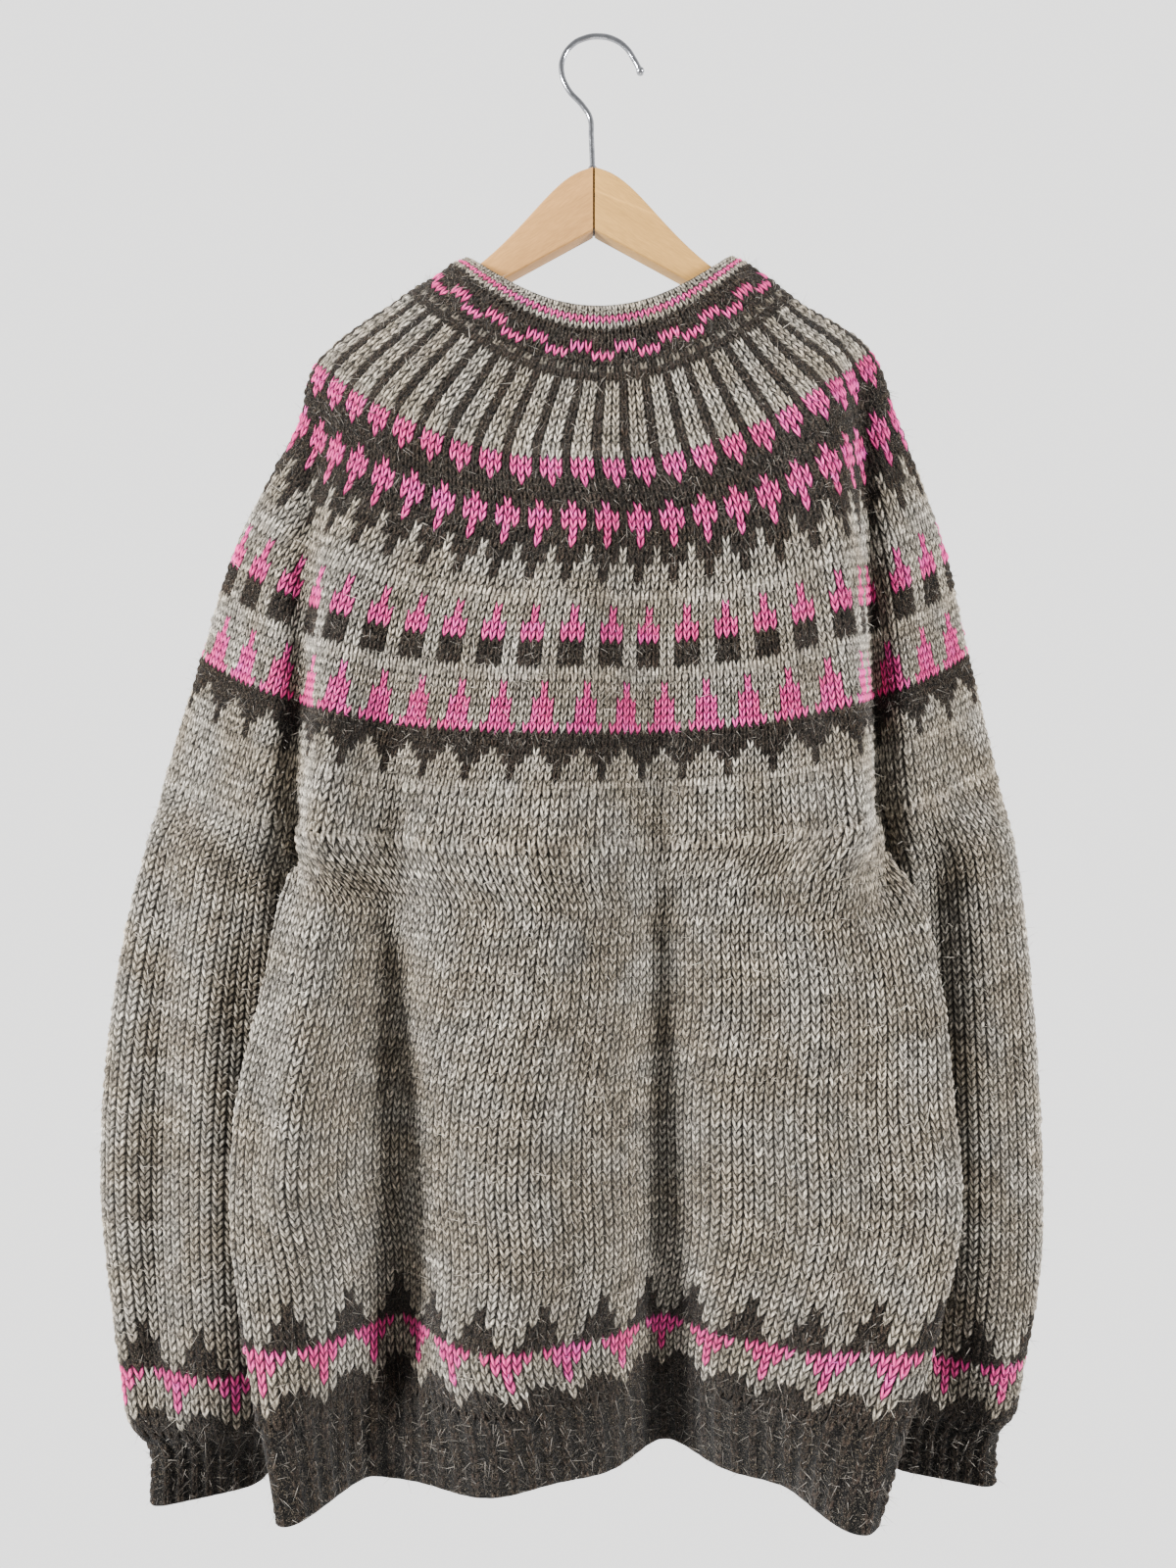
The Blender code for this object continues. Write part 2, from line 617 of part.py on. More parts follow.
def make_arm(collection, socket_cutter, side):
    """One arm, lofted through its sections, with half of the hook's socket drilled in its end."""
    sign = -1 if side == "left" else 1
    bm = bmesh.new()
    rings = []
    for row in ARM_SECTIONS:
        section = dict(zip(ARM_COLUMNS, row))
        ring = arm_section(section["top_z"], section["low_z"], section["depth"])
        rings.append([bm.verts.new((sign * section["out"] * MM, y * MM, z * MM)) for y, z in ring])
    for one, two in zip(rings, rings[1:]):
        for index in range(len(one)):
            after = (index + 1) % len(one)
            bm.faces.new((one[index], one[after], two[after], two[index]))
    bm.faces.new(rings[0])
    bm.faces.new(rings[-1])
    bmesh.ops.recalc_face_normals(bm, faces=bm.faces)
    name = f"hanger_arm_{side}"
    mesh = bpy.data.meshes.new(name)
    bm.to_mesh(mesh)
    bm.free()
    arm = add_object(collection, name, mesh, "wood")
    bored = arm.modifiers.new("hook_socket", "BOOLEAN")
    bored.operation = "DIFFERENCE"
    bored.solver = "EXACT"
    bored.object = socket_cutter


def make_socket_cutter(collection):
    """A drill for the hook's foot, down the joint between the two arms."""
    top = CROWN_Z + 10.0
    bottom = HOOK_FOOT_Z - SOCKET_CLEARANCE
    bpy.ops.mesh.primitive_cylinder_add(
        vertices=12,
        radius=(WIRE_RADIUS + SOCKET_CLEARANCE) * MM,
        depth=(top - bottom) * MM,
        location=(HOOK_FOOT_X * MM, 0.0, (top + bottom) / 2 * MM),
    )
    cutter = bpy.context.object
    cutter.name = "socket_cutter"
    cutter.hide_render = True
    cutter.display_type = "WIRE"
    for other in list(cutter.users_collection):
        other.objects.unlink(cutter)
    collection.objects.link(cutter)
    return cutter


def smooth_line(route, pieces):
    """A Catmull-Rom curve through a route's points."""
    points = [Vector(point) for point in route]
    line = []
    for index in range(len(points) - 1):
        before = points[max(index - 1, 0)]
        start, end = points[index], points[index + 1]
        after = points[min(index + 2, len(points) - 1)]
        for step in range(pieces):
            s = step / pieces
            line.append(
                0.5
                * (
                    2 * start
                    + (end - before) * s
                    + (2 * before - 5 * start + 4 * end - after) * s * s
                    + (3 * start - before - 3 * end + after) * s**3
                )
            )
    line.append(points[-1])
    return line


def make_hook(collection):
    """The wire, on a smooth curve from its foot in the wood round to its tip."""
    places = [dict(zip(HOOK_COLUMNS, row)) for row in HOOK_ROUTE]
    line = smooth_line([(place["x"] * MM, 0.0, place["z"] * MM) for place in places], 3)
    curve = bpy.data.curves.new("hanger_hook", "CURVE")
    curve.dimensions = "3D"
    spline = curve.splines.new("POLY")
    spline.points.add(len(line) - 1)
    for point, place in zip(spline.points, line):
        point.co = (*place, 1.0)
    curve.bevel_depth = WIRE_RADIUS * MM
    curve.bevel_resolution = 2
    curve.use_fill_caps = True
    curve.materials.append(material("steel"))
    obj = bpy.data.objects.new("hanger_hook", curve)
    collection.objects.link(obj)


def main():
    clear_scene()
    garment = bpy.data.collections.new("knit_cardigan")
    cutter_collection = bpy.data.collections.new("cutters")
    bpy.context.scene.collection.children.link(garment)
    bpy.context.scene.collection.children.link(cutter_collection)

    yoke = Tube(YOKE_RINGS, BACK_FOLDS, FRONT_FOLDS)
    body_start, left_start, right_start = split_rows(yoke)
    body = Tube(BODY_RINGS, BACK_FOLDS, FRONT_FOLDS, start=body_start)
    sleeves = {
        "left": Tube(LEFT_SLEEVE_RINGS, SLEEVE_BACK_FOLDS, SLEEVE_FRONT_FOLDS, leans=True, start=left_start),
        "right": Tube(RIGHT_SLEEVE_RINGS, SLEEVE_BACK_FOLDS, SLEEVE_FRONT_FOLDS, leans=True, start=right_start),
    }

    make_neckband(garment, yoke)
    make_yoke(garment, yoke)
    make_body(garment, body)
    make_hem(garment, body)
    for side, tube in sleeves.items():
        make_sleeve(garment, side, tube)
    make_bands(garment, yoke, body)
    make_buttons(garment, yoke, body)
    socket_cutter = make_socket_cutter(cutter_collection)
    for side in ("left", "right"):
        make_arm(garment, socket_cutter, side)
    make_hook(garment)


main()
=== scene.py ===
import math

import bpy
import numpy as np
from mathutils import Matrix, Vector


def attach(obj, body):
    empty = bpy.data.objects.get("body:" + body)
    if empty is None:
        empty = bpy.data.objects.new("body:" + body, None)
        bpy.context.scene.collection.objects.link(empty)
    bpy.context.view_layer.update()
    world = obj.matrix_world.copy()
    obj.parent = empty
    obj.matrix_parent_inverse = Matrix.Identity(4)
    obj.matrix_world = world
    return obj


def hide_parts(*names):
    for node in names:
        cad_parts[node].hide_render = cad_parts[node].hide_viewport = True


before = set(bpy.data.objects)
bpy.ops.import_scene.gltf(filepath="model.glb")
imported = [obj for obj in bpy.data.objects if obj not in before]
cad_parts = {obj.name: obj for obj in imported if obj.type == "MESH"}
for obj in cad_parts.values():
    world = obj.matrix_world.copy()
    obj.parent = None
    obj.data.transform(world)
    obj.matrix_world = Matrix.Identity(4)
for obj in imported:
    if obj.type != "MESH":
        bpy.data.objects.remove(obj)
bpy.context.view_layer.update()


# Camera, floor and light
# A level camera looks at the cardigan's back from close by, over a plain pale floor. The sky is soft, and
# brighter behind the cardigan than on the camera's side. A lamp to each side grazes the stitches, and a
# weak one is in front.
camera_data = bpy.data.cameras.new("camera")
camera_data.lens = 26.0
camera_data.sensor_width = 36.0
camera = bpy.data.objects.new("camera", camera_data)
camera.location = (-0.0037, -0.716, -0.471)
camera.rotation_euler = (math.radians(90), 0, 0)
bpy.context.scene.collection.objects.link(camera)
bpy.context.scene.camera = camera


def new_finish(name, **settings):
    """A new material, its node tree and its shader, with the values that are the same all over."""
    material = bpy.data.materials.new(name)
    material.use_nodes = True
    shader = material.node_tree.nodes["Principled BSDF"]
    for socket, value in settings.items():
        shader.inputs[socket.replace("_", " ")].default_value = value
    return material, material.node_tree, shader


FLOOR_LEVEL = -1.42
FLOOR_RADIUS = 0.60
bpy.ops.object.select_all(action="DESELECT")
bpy.ops.mesh.primitive_circle_add(
    vertices=128, radius=FLOOR_RADIUS, fill_type="NGON", location=(0, 0, FLOOR_LEVEL)
)
floor = bpy.context.object
floor.name = "floor"
floor_paint = new_finish("floor_paint", Base_Color=(0.88, 0.875, 0.865, 1), Roughness=0.9)[0]
floor.data.materials.append(floor_paint)

# The sky's strength goes from the first value to the second between these two headings along Y.
SKY_HEADINGS = (-0.7, 0.55)
SKY_STRENGTHS = (0.50, 2.2)
RANGE_ENDS = ("From Min", "From Max", "To Min", "To Max")
world = bpy.data.worlds.new("soft_sky")
bpy.context.scene.world = world
world.use_nodes = True
sky_tree = world.node_tree
sky = sky_tree.nodes["Background"]
sky.inputs["Color"].default_value = (1.0, 0.995, 0.985, 1)
heading = sky_tree.nodes.new("ShaderNodeTexCoord")
parts = sky_tree.nodes.new("ShaderNodeSeparateXYZ")
brightness = sky_tree.nodes.new("ShaderNodeMapRange")
sky_tree.links.new(heading.outputs["Generated"], parts.inputs["Vector"])
sky_tree.links.new(parts.outputs["Y"], brightness.inputs["Value"])
sky_tree.links.new(brightness.outputs["Result"], sky.inputs["Strength"])
for socket, value in zip(RANGE_ENDS, SKY_HEADINGS + SKY_STRENGTHS):
    brightness.inputs[socket].default_value = value

# Each lamp: name, place, size in metres, power in watts
LAMPS = (
    ("lamp_left", (-2.2, -1.0, 0.35), 0.5, 275.0),
    ("lamp_right", (2.3, -1.25, 0.2), 0.6, 200.0),
    ("lamp_front", (1.6, 2.0, 0.6), 1.0, 60.0),
)
AIM = (0.0, 0.0, -0.5)
for lamp_name, place, size, power in LAMPS:
    lamp_data = bpy.data.lights.new(lamp_name, "AREA")
    lamp_data.size = size
    lamp_data.energy = power
    lamp = bpy.data.objects.new(lamp_name, lamp_data)
    lamp.location = place
    toward = Vector(AIM) - Vector(place)
    lamp.rotation_euler = toward.to_track_quat("-Z", "Y").to_euler()
    bpy.context.scene.collection.objects.link(lamp)


# Yoke
# The round yoke is knitted in bulky wool from the neck down, in stocking stitch, with dark and pink yarn
# stranded in. Each stitch is a V of two leaning legs. It is one tube, open at the front, made here as a
# back and two fronts.

# Sizes of the piece are in millimetres, and the scene is in metres.
MM = 0.001
WALL = 4.0
BAND_WIDTH = 36.0
# The tube's shape, ring by ring: its row, the places of its side folds, how
# far its back and front drop between them and stand off the middle, how
# round the drop is, and where along the row the side folds start and end
RING_COLUMNS = (
    "row", "left_x", "left_y", "left_z", "right_x", "right_y", "right_z",
    "back_drop", "front_drop", "back_gap", "front_gap", "fold_gap", "sag_power", "fold_start", "fold_end",
)
YOKE_RINGS = tuple(ring + (0.60, 1.00) for ring in (
    (0, -79, 0, -142.0, 86, 0, -141.0, 38, 70, 24, 20, 22, 2.0),
    (3, -89, 0, -146.0, 97, 0, -146.0, 50, 82, 27, 22, 24, 2.0),
    (5, -101, 0, -154.5, 109, 0, -154.5, 55, 86, 29, 23, 25, 2.0),
    (9, -120, 0, -166.0, 128, 0, -169.0, 65, 94, 33, 24, 26, 2.0),
    (18, -173, 0, -207.0, 173, 0, -199.5, 77, 98, 40, 25, 27, 2.1),
    (25, -184, 0, -243.0, 189, 0, -241.0, 75, 93, 45, 26, 28, 2.3),
    (37, -223, 0, -320.0, 218, 0, -320.0, 59, 72, 50, 27, 28, 2.5),
    (46, -240, 0, -374.0, 230, 0, -372.0, 52, 60, 53, 28, 27, 2.6),
    (54, -253, 0, -417.0, 240, 0, -414.0, 50, 55, 55, 28, 26, 2.6),
    (62, -268, 0, -465.5, 251, 0, -459.5, 44, 46, 56, 28, 24, 2.6),
))
# The hanging folds: place at the top and at the low end,
# width at each, and how far each end is pushed along Y
FOLD_COLUMNS = ("top_x", "top_z", "low_x", "low_z", "top_width", "low_width", "top_push", "low_push")
BACK_FOLDS = {
    "left_armhole_valley": (-172, -270, -177, -495, 13, 12, 8, 20),
    "left_flare": (-158, -470, -176, -700, 15, 20, -8, -16),
    "left_trough": (-121, -390, -119, -800, 18, 24, 4, 34),
    "centre_ridge": (-8, -290, -62, -884, 30, 36, -9, -20),
    "left_shoulder_ridge": (-62, -300, -78, -620, 26, 30, -3, -7),
    "right_trough": (34, -400, 45, -884, 15, 27, 4, 40),
    "right_shoulder_ridge": (138, -250, 146, -500, 18, 22, -8, -22),
    "right_armhole_valley": (163, -250, 171, -492, 10, 11, 10, 30),
    "right_plateau": (128, -560, 132, -884, 26, 24, -10, -22),
}
FRONT_FOLDS = {
    "left_front_fold": (-92, -330, -104, -884, 24, 30, 5, 14),
    "left_front_trough": (-52, -420, -56, -884, 18, 20, -3, -8),
    "right_front_fold": (86, -340, 98, -884, 26, 28, 4, 12),
    "right_front_trough": (50, -450, 52, -884, 18, 18, -3, -7),
    "left_front_armhole": (-176, -280, -178, -495, 14, 14, -4, -10),
    "right_front_armhole": (172, -280, 176, -495, 14, 14, -4, -10),
}
# Points along a half row, and rows from one line of the cloth's grid to the next
SAMPLES = 240
GRID_STEP = 0.5
# Over what height a fold fades out, and how roundly the
# cloth turns over at its side folds and sags between them
FOLD_FADE = 70.0
EDGE_ROUND = 8
SAG_ROUND = 0.9


def smooth(value):
    value = np.clip(value, 0.0, 1.0)
    return value * value * (3 - 2 * value)


def ring_at(table, row):
    """The table's columns at any row, on a smooth curve through its rings."""
    knots = np.array([ring[0] for ring in table], float)
    values = np.array(table, float)
    row = min(max(row, knots[0]), knots[-1])
    index = min(int(np.searchsorted(knots, row, side="right")) - 1, len(knots) - 2)
    secants = np.diff(values, axis=0) / np.diff(knots)[:, None]
    slopes = np.vstack([secants[:1], (secants[1:] + secants[:-1]) / 2, secants[-1:]])
    span = knots[index + 1] - knots[index]
    s = (row - knots[index]) / span
    value = (
        (2 * s**3 - 3 * s**2 + 1) * values[index]
        + (s**3 - 2 * s**2 + s) * span * slopes[index]
        + (3 * s**2 - 2 * s**3) * values[index + 1]
        + (s**3 - s**2) * span * slopes[index + 1]
    )
    return dict(zip(RING_COLUMNS, value))


def fold_push(folds, x, z):
    """How far the folds move the cloth at each point, along Y."""
    push = np.zeros_like(x)
    for row in folds.values():
        fold = dict(zip(FOLD_COLUMNS, row))
        along = np.clip((fold["top_z"] - z) / (fold["top_z"] - fold["low_z"]), 0.0, 1.0)
        centre = fold["top_x"] + (fold["low_x"] - fold["top_x"]) * along
        width = fold["top_width"] + (fold["low_width"] - fold["top_width"]) * along
        height = fold["top_push"] + (fold["low_push"] - fold["top_push"]) * along
        fade = smooth((fold["top_z"] + FOLD_FADE - z) / FOLD_FADE)
        fade = fade * smooth((z - fold["low_z"] + FOLD_FADE) / FOLD_FADE)
        push += height * fade * np.exp(-(((x - centre) / width) ** 2))
    return push


def evenly(line, count=SAMPLES):
    """The same line with its points an even distance apart."""
    steps = np.linalg.norm(np.diff(line, axis=0), axis=1)
    run = np.concatenate([[0.0], np.cumsum(steps)])
    wanted = np.linspace(0.0, run[-1], count)
    return np.stack([np.interp(wanted, run, line[:, axis]) for axis in range(3)], axis=1)


def half_row(table, row, front, folds, leans):
    """One layer of a row: its back from left to right, or its front from right to left. A cloth that
    leans has the whole row's middle on the line between its side folds, and not only the folds."""
    ring = ring_at(table, row)
    t = -np.cos(np.linspace(0.0, math.pi, SAMPLES))
    if front:
        t = -t
    share = (t + 1) / 2
    x = ring["left_x"] + (ring["right_x"] - ring["left_x"]) * share
    middle = ring["left_y"] + (ring["right_y"] - ring["left_y"]) * share
    drop = ring["front_drop"] if front else ring["back_drop"]
    level = ring["left_z"] + (ring["right_z"] - ring["left_z"]) * share
    z = level - drop * (1 - np.abs(t) ** ring["sag_power"]) ** SAG_ROUND
    fold = smooth((np.abs(t) - ring["fold_start"]) / (ring["fold_end"] - ring["fold_start"]))
    gap = ring["front_gap"] if front else ring["back_gap"]
    closing = np.sqrt(1 - np.abs(t) ** EDGE_ROUND)
    reach = (gap + (ring["fold_gap"] - gap) * fold) * closing
    y = middle * (1.0 if leans else fold) + (reach if front else -reach)
    y = y + fold_push(folds, x, z) * closing
    return evenly(np.stack([x, y, z], axis=1))


class Cloth:
    """A hanging surface: a grid of points over rows down and turns round, with its outward normals."""

    def __init__(self, points, first, last, turns, closed):
        self.points, self.first, self.last, self.turns, self.closed = points, first, last, turns, closed
        down = np.gradient(points, axis=0)
        if closed:
            around = np.concatenate([points[:, -2:-1], points, points[:, 1:2]], axis=1)
            along = np.gradient(around, axis=1)[:, 1:-1]
        else:
            along = np.gradient(points, axis=1)
        normals = np.cross(down, along)
        self.normals = normals / np.linalg.norm(normals, axis=2)[:, :, None]

    def at(self, rows, turns):
        """Points and outward normals at rows and turns, both arrays of one shape."""
        tall, wide = self.points.shape[:2]
        down = (rows - self.first) / (self.last - self.first) * (tall - 1)
        across = turns / self.turns
        across = (np.mod(across, 1.0) if self.closed else np.clip(across, 0, 1)) * (wide - 1)
        r = np.clip(down.astype(int), 0, tall - 2)
        c = np.minimum(across.astype(int), wide - 2)
        dr = (down - r)[..., None]
        dc = (across - c)[..., None]
        found = []
        for grid in (self.points, self.normals):
            upper = grid[r, c] * (1 - dc) + grid[r, c + 1] * dc
            lower = grid[r + 1, c] * (1 - dc) + grid[r + 1, c + 1] * dc
            found.append(upper * (1 - dr) + lower * dr)
        found[1] = found[1] / np.linalg.norm(found[1], axis=-1)[..., None]
        return found


# Over how many rows a tube's first row, taken from the cloth above, turns into the tube's own shape
SPLIT_FADE_ROWS = 9.0


class Tube(Cloth):
    """A knitted tube: turns 0 to 1 run along its back, 1 to 2 along its front. start gives the two layers
    of the row that it grows out of."""

    def __init__(self, table, back_folds, front_folds, leans=False, start=None):
        self.table, self.folds, self.leans = table, (back_folds, front_folds), leans
        self.shift = None
        top, low = table[0][0], table[-1][0]
        if start is not None:
            self.shift = [wanted - plain for wanted, plain in zip(start, self.layers(top))]
        grid = []
        for row in np.linspace(top, low, int((low - top) / GRID_STEP) + 1):
            back, front = self.layers(row)
            grid.append(np.vstack([back[:-1], front]))
        super().__init__(np.array(grid), top, low, 2.0, True)

    def layers(self, row):
        top = self.table[0][0]
        row = min(max(row, top), self.table[-1][0])
        layers = [half_row(self.table, row, front, self.folds[front], self.leans) for front in (False, True)]
        if self.shift is not None:
            left = 1 - smooth(np.array((row - top) / SPLIT_FADE_ROWS))
            layers = [layer + left * shift for layer, shift in zip(layers, self.shift)]
        return layers

    def turns_at_x(self, x):
        """Rows, and the turn on the front layer that lies at X in each."""
        rows = np.linspace(self.first, self.last, len(self.points))
        fronts = self.points[:, SAMPLES - 1:]
        share = np.linspace(0.0, 1.0, fronts.shape[1])
        return rows, np.array([1.0 + np.interp(-x, -front[:, 0], share) for front in fronts])


yoke = Tube(YOKE_RINGS, BACK_FOLDS, FRONT_FOLDS)

# The yarns as linear colours: grey, dark, pink and the neck's mixed one. Then how much a stitch of each
# varies, how strongly each is flecked, and how much of its shade a stitch takes from the one before it
YARNS = {
    "G": (0.330, 0.298, 0.252),
    "D": (0.015, 0.0102, 0.0073),
    "P": (0.98, 0.066, 0.365),
    "M": (0.110, 0.097, 0.080),
}
YARN_VARIATION = {"G": 0.21, "D": 0.24, "P": 0.12, "M": 0.2}
YARN_FLECKS = {"G": 1.0, "D": 1.0, "P": 0.35, "M": 1.0}
YARN_RUN = 0.35

# A stitch's lattice: lines across and down it, how many rows its legs lean, to which side each line
# leans, how high it stands across and down the stitch, and how light each line down is in the painted shade
ACROSS = 4
DOWN = 3
LEAN = 0.5
LEG_SIDES = (-1, 0, 1, 0)
LEG_ACROSS = (-0.1, 1.0, 0.3, 1.0)
LEG_DOWN = (0.35, 0.92, 1.0)
LEG_PAINTED_SHADE = (0.05, 0.85, 1.0)
# The same for rib, whose pattern is two stitches wide
RIB_SIDES = (-0.7, 0, 0.7, 0, -0.7, 0, 0, 0)
RIB_ACROSS = (0.1, 1.0, 0.35, 1.0, 0.1, -0.1, -0.25, -0.1)
RIB_DOWN = (0.2, 0.85, 1.0)
# Relief in millimetres: its lowest, and what the highest adds
STITCH_FLOOR = 0.8
STITCH_RISE = 1.8
# How much raised stitches differ in height, from what
# height they are raised, and the share that is evened out
STITCH_UNEVEN = 0.22
STITCH_RAISED = 0.3
STITCH_EVENED = 0.22
# By what share a line the lean comes in at a section's ends
LEAN_STEP = 0.6
# The line where two sections meet: the height of its legs and of the hollows between them, and its painted
# shade
MEETING_LEG = 0.8
MEETING_DIP = 0.4
MEETING_PAINTED_SHADE = 0.8
# A free edge: its lowest height, and the share that it keeps of its stitches' own
EDGE_FLOOR = 0.2
EDGE_SHARE = 0.5
# A piece that joins the one above starts this many rows higher, tucked in under it at this height.
TUCK_ROWS = 0.8
TUCK_RISE = 0.3
# The map for baking: the inner face's share of its height, the margin round each face, and the rims' width
INNER_SHARE = 0.28
MAP_MARGIN = 0.012
MAP_RIM = MAP_MARGIN * 0.6
# The kinds of face on a sheet
OUTER, INNER, TOP_RIM, LOW_RIM, LEFT_RIM, RIGHT_RIM = range(6)
ALL_ROWS = np.array([0.0, 200.0])


def edges_at(*turns):
    """A sheet's two edges, each at the same turn on every row."""
    return tuple((ALL_ROWS, np.full(2, turn)) for turn in turns)


whole_round = edges_at(0.0, 2.0)


def bridge(upper, lower):
    """Faces between two lines of vertices, each (index, place along 0 to 1)."""
    (a, at_a), (b, at_b) = upper, lower
    if len(a) == len(b):
        return [np.stack([a[:-1], b[:-1], b[1:], a[1:]], axis=1)]
    faces = []
    i = j = 0
    while i < len(a) - 1 or j < len(b) - 1:
        if j == len(b) - 1 or (i < len(a) - 1 and at_a[i + 1] <= at_b[j + 1]):
            faces.append((a[i], b[j], a[i + 1]))
            i += 1
        else:
            faces.append((a[i], b[j], b[j + 1]))
            j += 1
    return [np.array(faces)]


def stitch_colours(chart, count, dice):
    """A colour for each stitch of each row: the chart's
    yarn, lighter and darker along the row as the wool is."""
    rows = np.empty((len(chart), count, 4))
    for number, line in enumerate(chart):
        letters = [line[i % len(line)] for i in range(count)]
        colour = np.array([YARNS[letter] for letter in letters])
        spread = np.array([YARN_VARIATION[letter] for letter in letters])
        shade = dice.normal(size=count)
        for i in range(1, count):
            shade[i] = YARN_RUN * shade[i - 1] + math.sqrt(1 - YARN_RUN**2) * shade[i]
        rows[number, :, :3] = colour * np.exp(shade * spread)[:, None]
        rows[number, :, 3] = [YARN_FLECKS[letter] for letter in letters]
    return rows


fuzz_roots = []


def knit(
    name, cloth, sections, edges, share, seed, lift=0.0, joins=(True, True)
):
    """A closed knitted sheet on a cloth. Each section is (first row, last row, stitches
    round, chart, ribbed), and may end with its rows' heights. edges gives the turns of
    the whole sheet's two edges at each row, and share is the part of its width that
    this piece takes. lift raises it off the cloth, and joins says whether it is knitted
    on above and below."""
    dice = np.random.default_rng(seed)
    closed = edges is whole_round
    first_row, last_row = sections[0][0], sections[-1][1]
    points, at, down, stitch, painted_shade, inside = [], [], [], [], [], []
    outer, inner, strips, inner_strips = [], [], [], []
    count = 0

    def lay(rows, place):
        """The cloth's points and normals at rows, at places across the whole sheet."""
        left, right = (np.interp(rows, *edge) for edge in edges)
        return cloth.at(rows, left + (right - left) * place)

    def add(line_points, line_at, rows, line_stitch, line_painted_shade, is_inner):
        """Adds a line of vertices and gives their numbers. A closed line ends on its first vertex."""
        nonlocal count
        index = np.arange(count, count + len(line_points))
        if closed:
            index[-1] = index[0]
        count += len(line_points)
        points.append(line_points)
        at.append(line_at)
        down.append((rows - first_row) / (last_row - first_row))
        stitch.append(line_stitch)
        painted_shade.append(line_painted_shade)
        inside.append(np.full(len(line_points), is_inner))
        return index, line_at

    for number, (first, last, stitches, chart, ribbed, *heights) in enumerate(sections):
        tall = len(chart)
        lowest = number == len(sections) - 1
        start_line = 0 if number == 0 else 1
        heights = np.array(heights[0] if heights else [1.0] * tall)
        heights = heights * (last - first) / heights.sum()
        row_tops = first + np.concatenate([[0.0], np.cumsum(heights)])
        colours = stitch_colours(chart, stitches, dice)
        uneven = dice.normal(size=(tall + 1, stitches)) * STITCH_UNEVEN
        begin, stop = (round(part * stitches) for part in share)

        j = np.arange(begin * ACROSS, stop * ACROSS + 1)
        cell = np.minimum(j // ACROSS, stitches - 1)
        if ribbed:
            sides, profile, falls = RIB_SIDES, RIB_ACROSS, RIB_DOWN
        else:
            sides, profile, falls = LEG_SIDES, LEG_ACROSS, LEG_DOWN
        lean = np.array(sides)[j % len(sides)]
        across = np.array(profile)[j % len(profile)]
        place = j / (ACROSS * stitches)
        for k in range(start_line, tall * DOWN + 1):
            at_top, at_end = k == 0, k == tall * DOWN
            fade = min(min(k, tall * DOWN - k) * LEAN_STEP, 1.0)
            if joins[1] and lowest and k > DOWN:
                fade = 1.0
            row_height = heights[min(k // DOWN, tall - 1)]
            line_row = float(np.interp(k / DOWN, np.arange(tall + 1), row_tops))
            rows = line_row + lean * LEAN * row_height * fade
            if at_top and joins[0]:
                rows = rows - TUCK_ROWS * row_height
            where, normal = lay(rows, place)
            height = np.where(across > 0, across * falls[k % DOWN], across)
            height = height + uneven[k // DOWN][cell] * (height > STITCH_RAISED)
            height = STITCH_EVENED + (1 - STITCH_EVENED) * height
            if at_end and not lowest:
                height = np.where(across > 0.5, MEETING_LEG, MEETING_DIP)
            if (at_top and not joins[0]) or (at_end and lowest and not joins[1]):
                height = EDGE_FLOOR + EDGE_SHARE * height
            if closed:
                height[-1] = height[0]
            rise = STITCH_FLOOR + STITCH_RISE * height + lift
            if at_top and joins[0]:
                rise = np.full(len(j), TUCK_RISE + lift)
            line_stitch = np.stack([j / ACROSS, np.full(len(j), line_row)], axis=1)
            # Each line's painted shade: dark in the hollows between stitches and rows, lighter on the raised
            # legs.
            painted_line_shade = np.where(across > 0, across * (MEETING_PAINTED_SHADE if at_end else LEG_PAINTED_SHADE[k % DOWN]), across)
            outer.append(add(where + normal * rise[:, None], place, rows, line_stitch, painted_line_shade, False))
            strips.append(colours[min(max(k - 1, 0) // DOWN, tall - 1)])

        j = np.arange(begin, stop + 1)
        place = j / stitches
        for k in range(start_line, tall + 1):
            rows = np.full(len(j), row_tops[k])
            where, normal = lay(rows, place)
            line_stitch = np.stack([j.astype(float), rows], axis=1)
            # The inner face gets an even, middling painted shade.
            plain = np.full(len(j), 0.5)
            inner.append(add(where + normal * (lift - WALL / 2), place, rows, line_stitch, plain, True))
            inner_strips.append(colours[min(max(k - 1, 0), tall - 1)])

    all_at = np.concatenate(at)
    down, inside = np.concatenate(down), np.concatenate(inside)
    faces, tints, kinds = [], [], []

    def take(found, colour_of, kind, flip=False):
        for block in found:
            faces.append(block[:, ::-1] if flip else block)
            middle = all_at[block].mean(axis=1)
            tints.append(colour_of[np.minimum((middle * len(colour_of)).astype(int), len(colour_of) - 1)])
            kinds.append(np.full(len(block), kind))

    for number in range(1, len(outer)):
        take(bridge(outer[number - 1], outer[number]), strips[number], OUTER)
    for number in range(1, len(inner)):
        take(bridge(inner[number - 1], inner[number]), inner_strips[number], INNER, flip=True)
    take(bridge(inner[0], outer[0]), strips[0], TOP_RIM)
    take(bridge(outer[-1], inner[-1]), strips[-1], LOW_RIM)
    if not closed:
        for end, kind in ((0, LEFT_RIM), (-1, RIGHT_RIM)):
            pair = []
            for lines in (outer, inner):
                index = np.array([line[0][end] for line in lines])
                pair.append((index, down[index]))
            take(bridge(*(pair if end == 0 else pair[::-1])), strips[len(strips) // 2], kind)

    points = np.concatenate(points) * MM
    mesh = bpy.data.meshes.new(name)
    mesh.from_pydata(points.tolist(), [], [face for block in faces for face in block.tolist()])
    sizes = np.concatenate([np.full(len(block), block.shape[1]) for block in faces])
    corner_kind = np.repeat(np.concatenate(kinds), sizes)
    corner = np.concatenate([block.ravel() for block in faces])

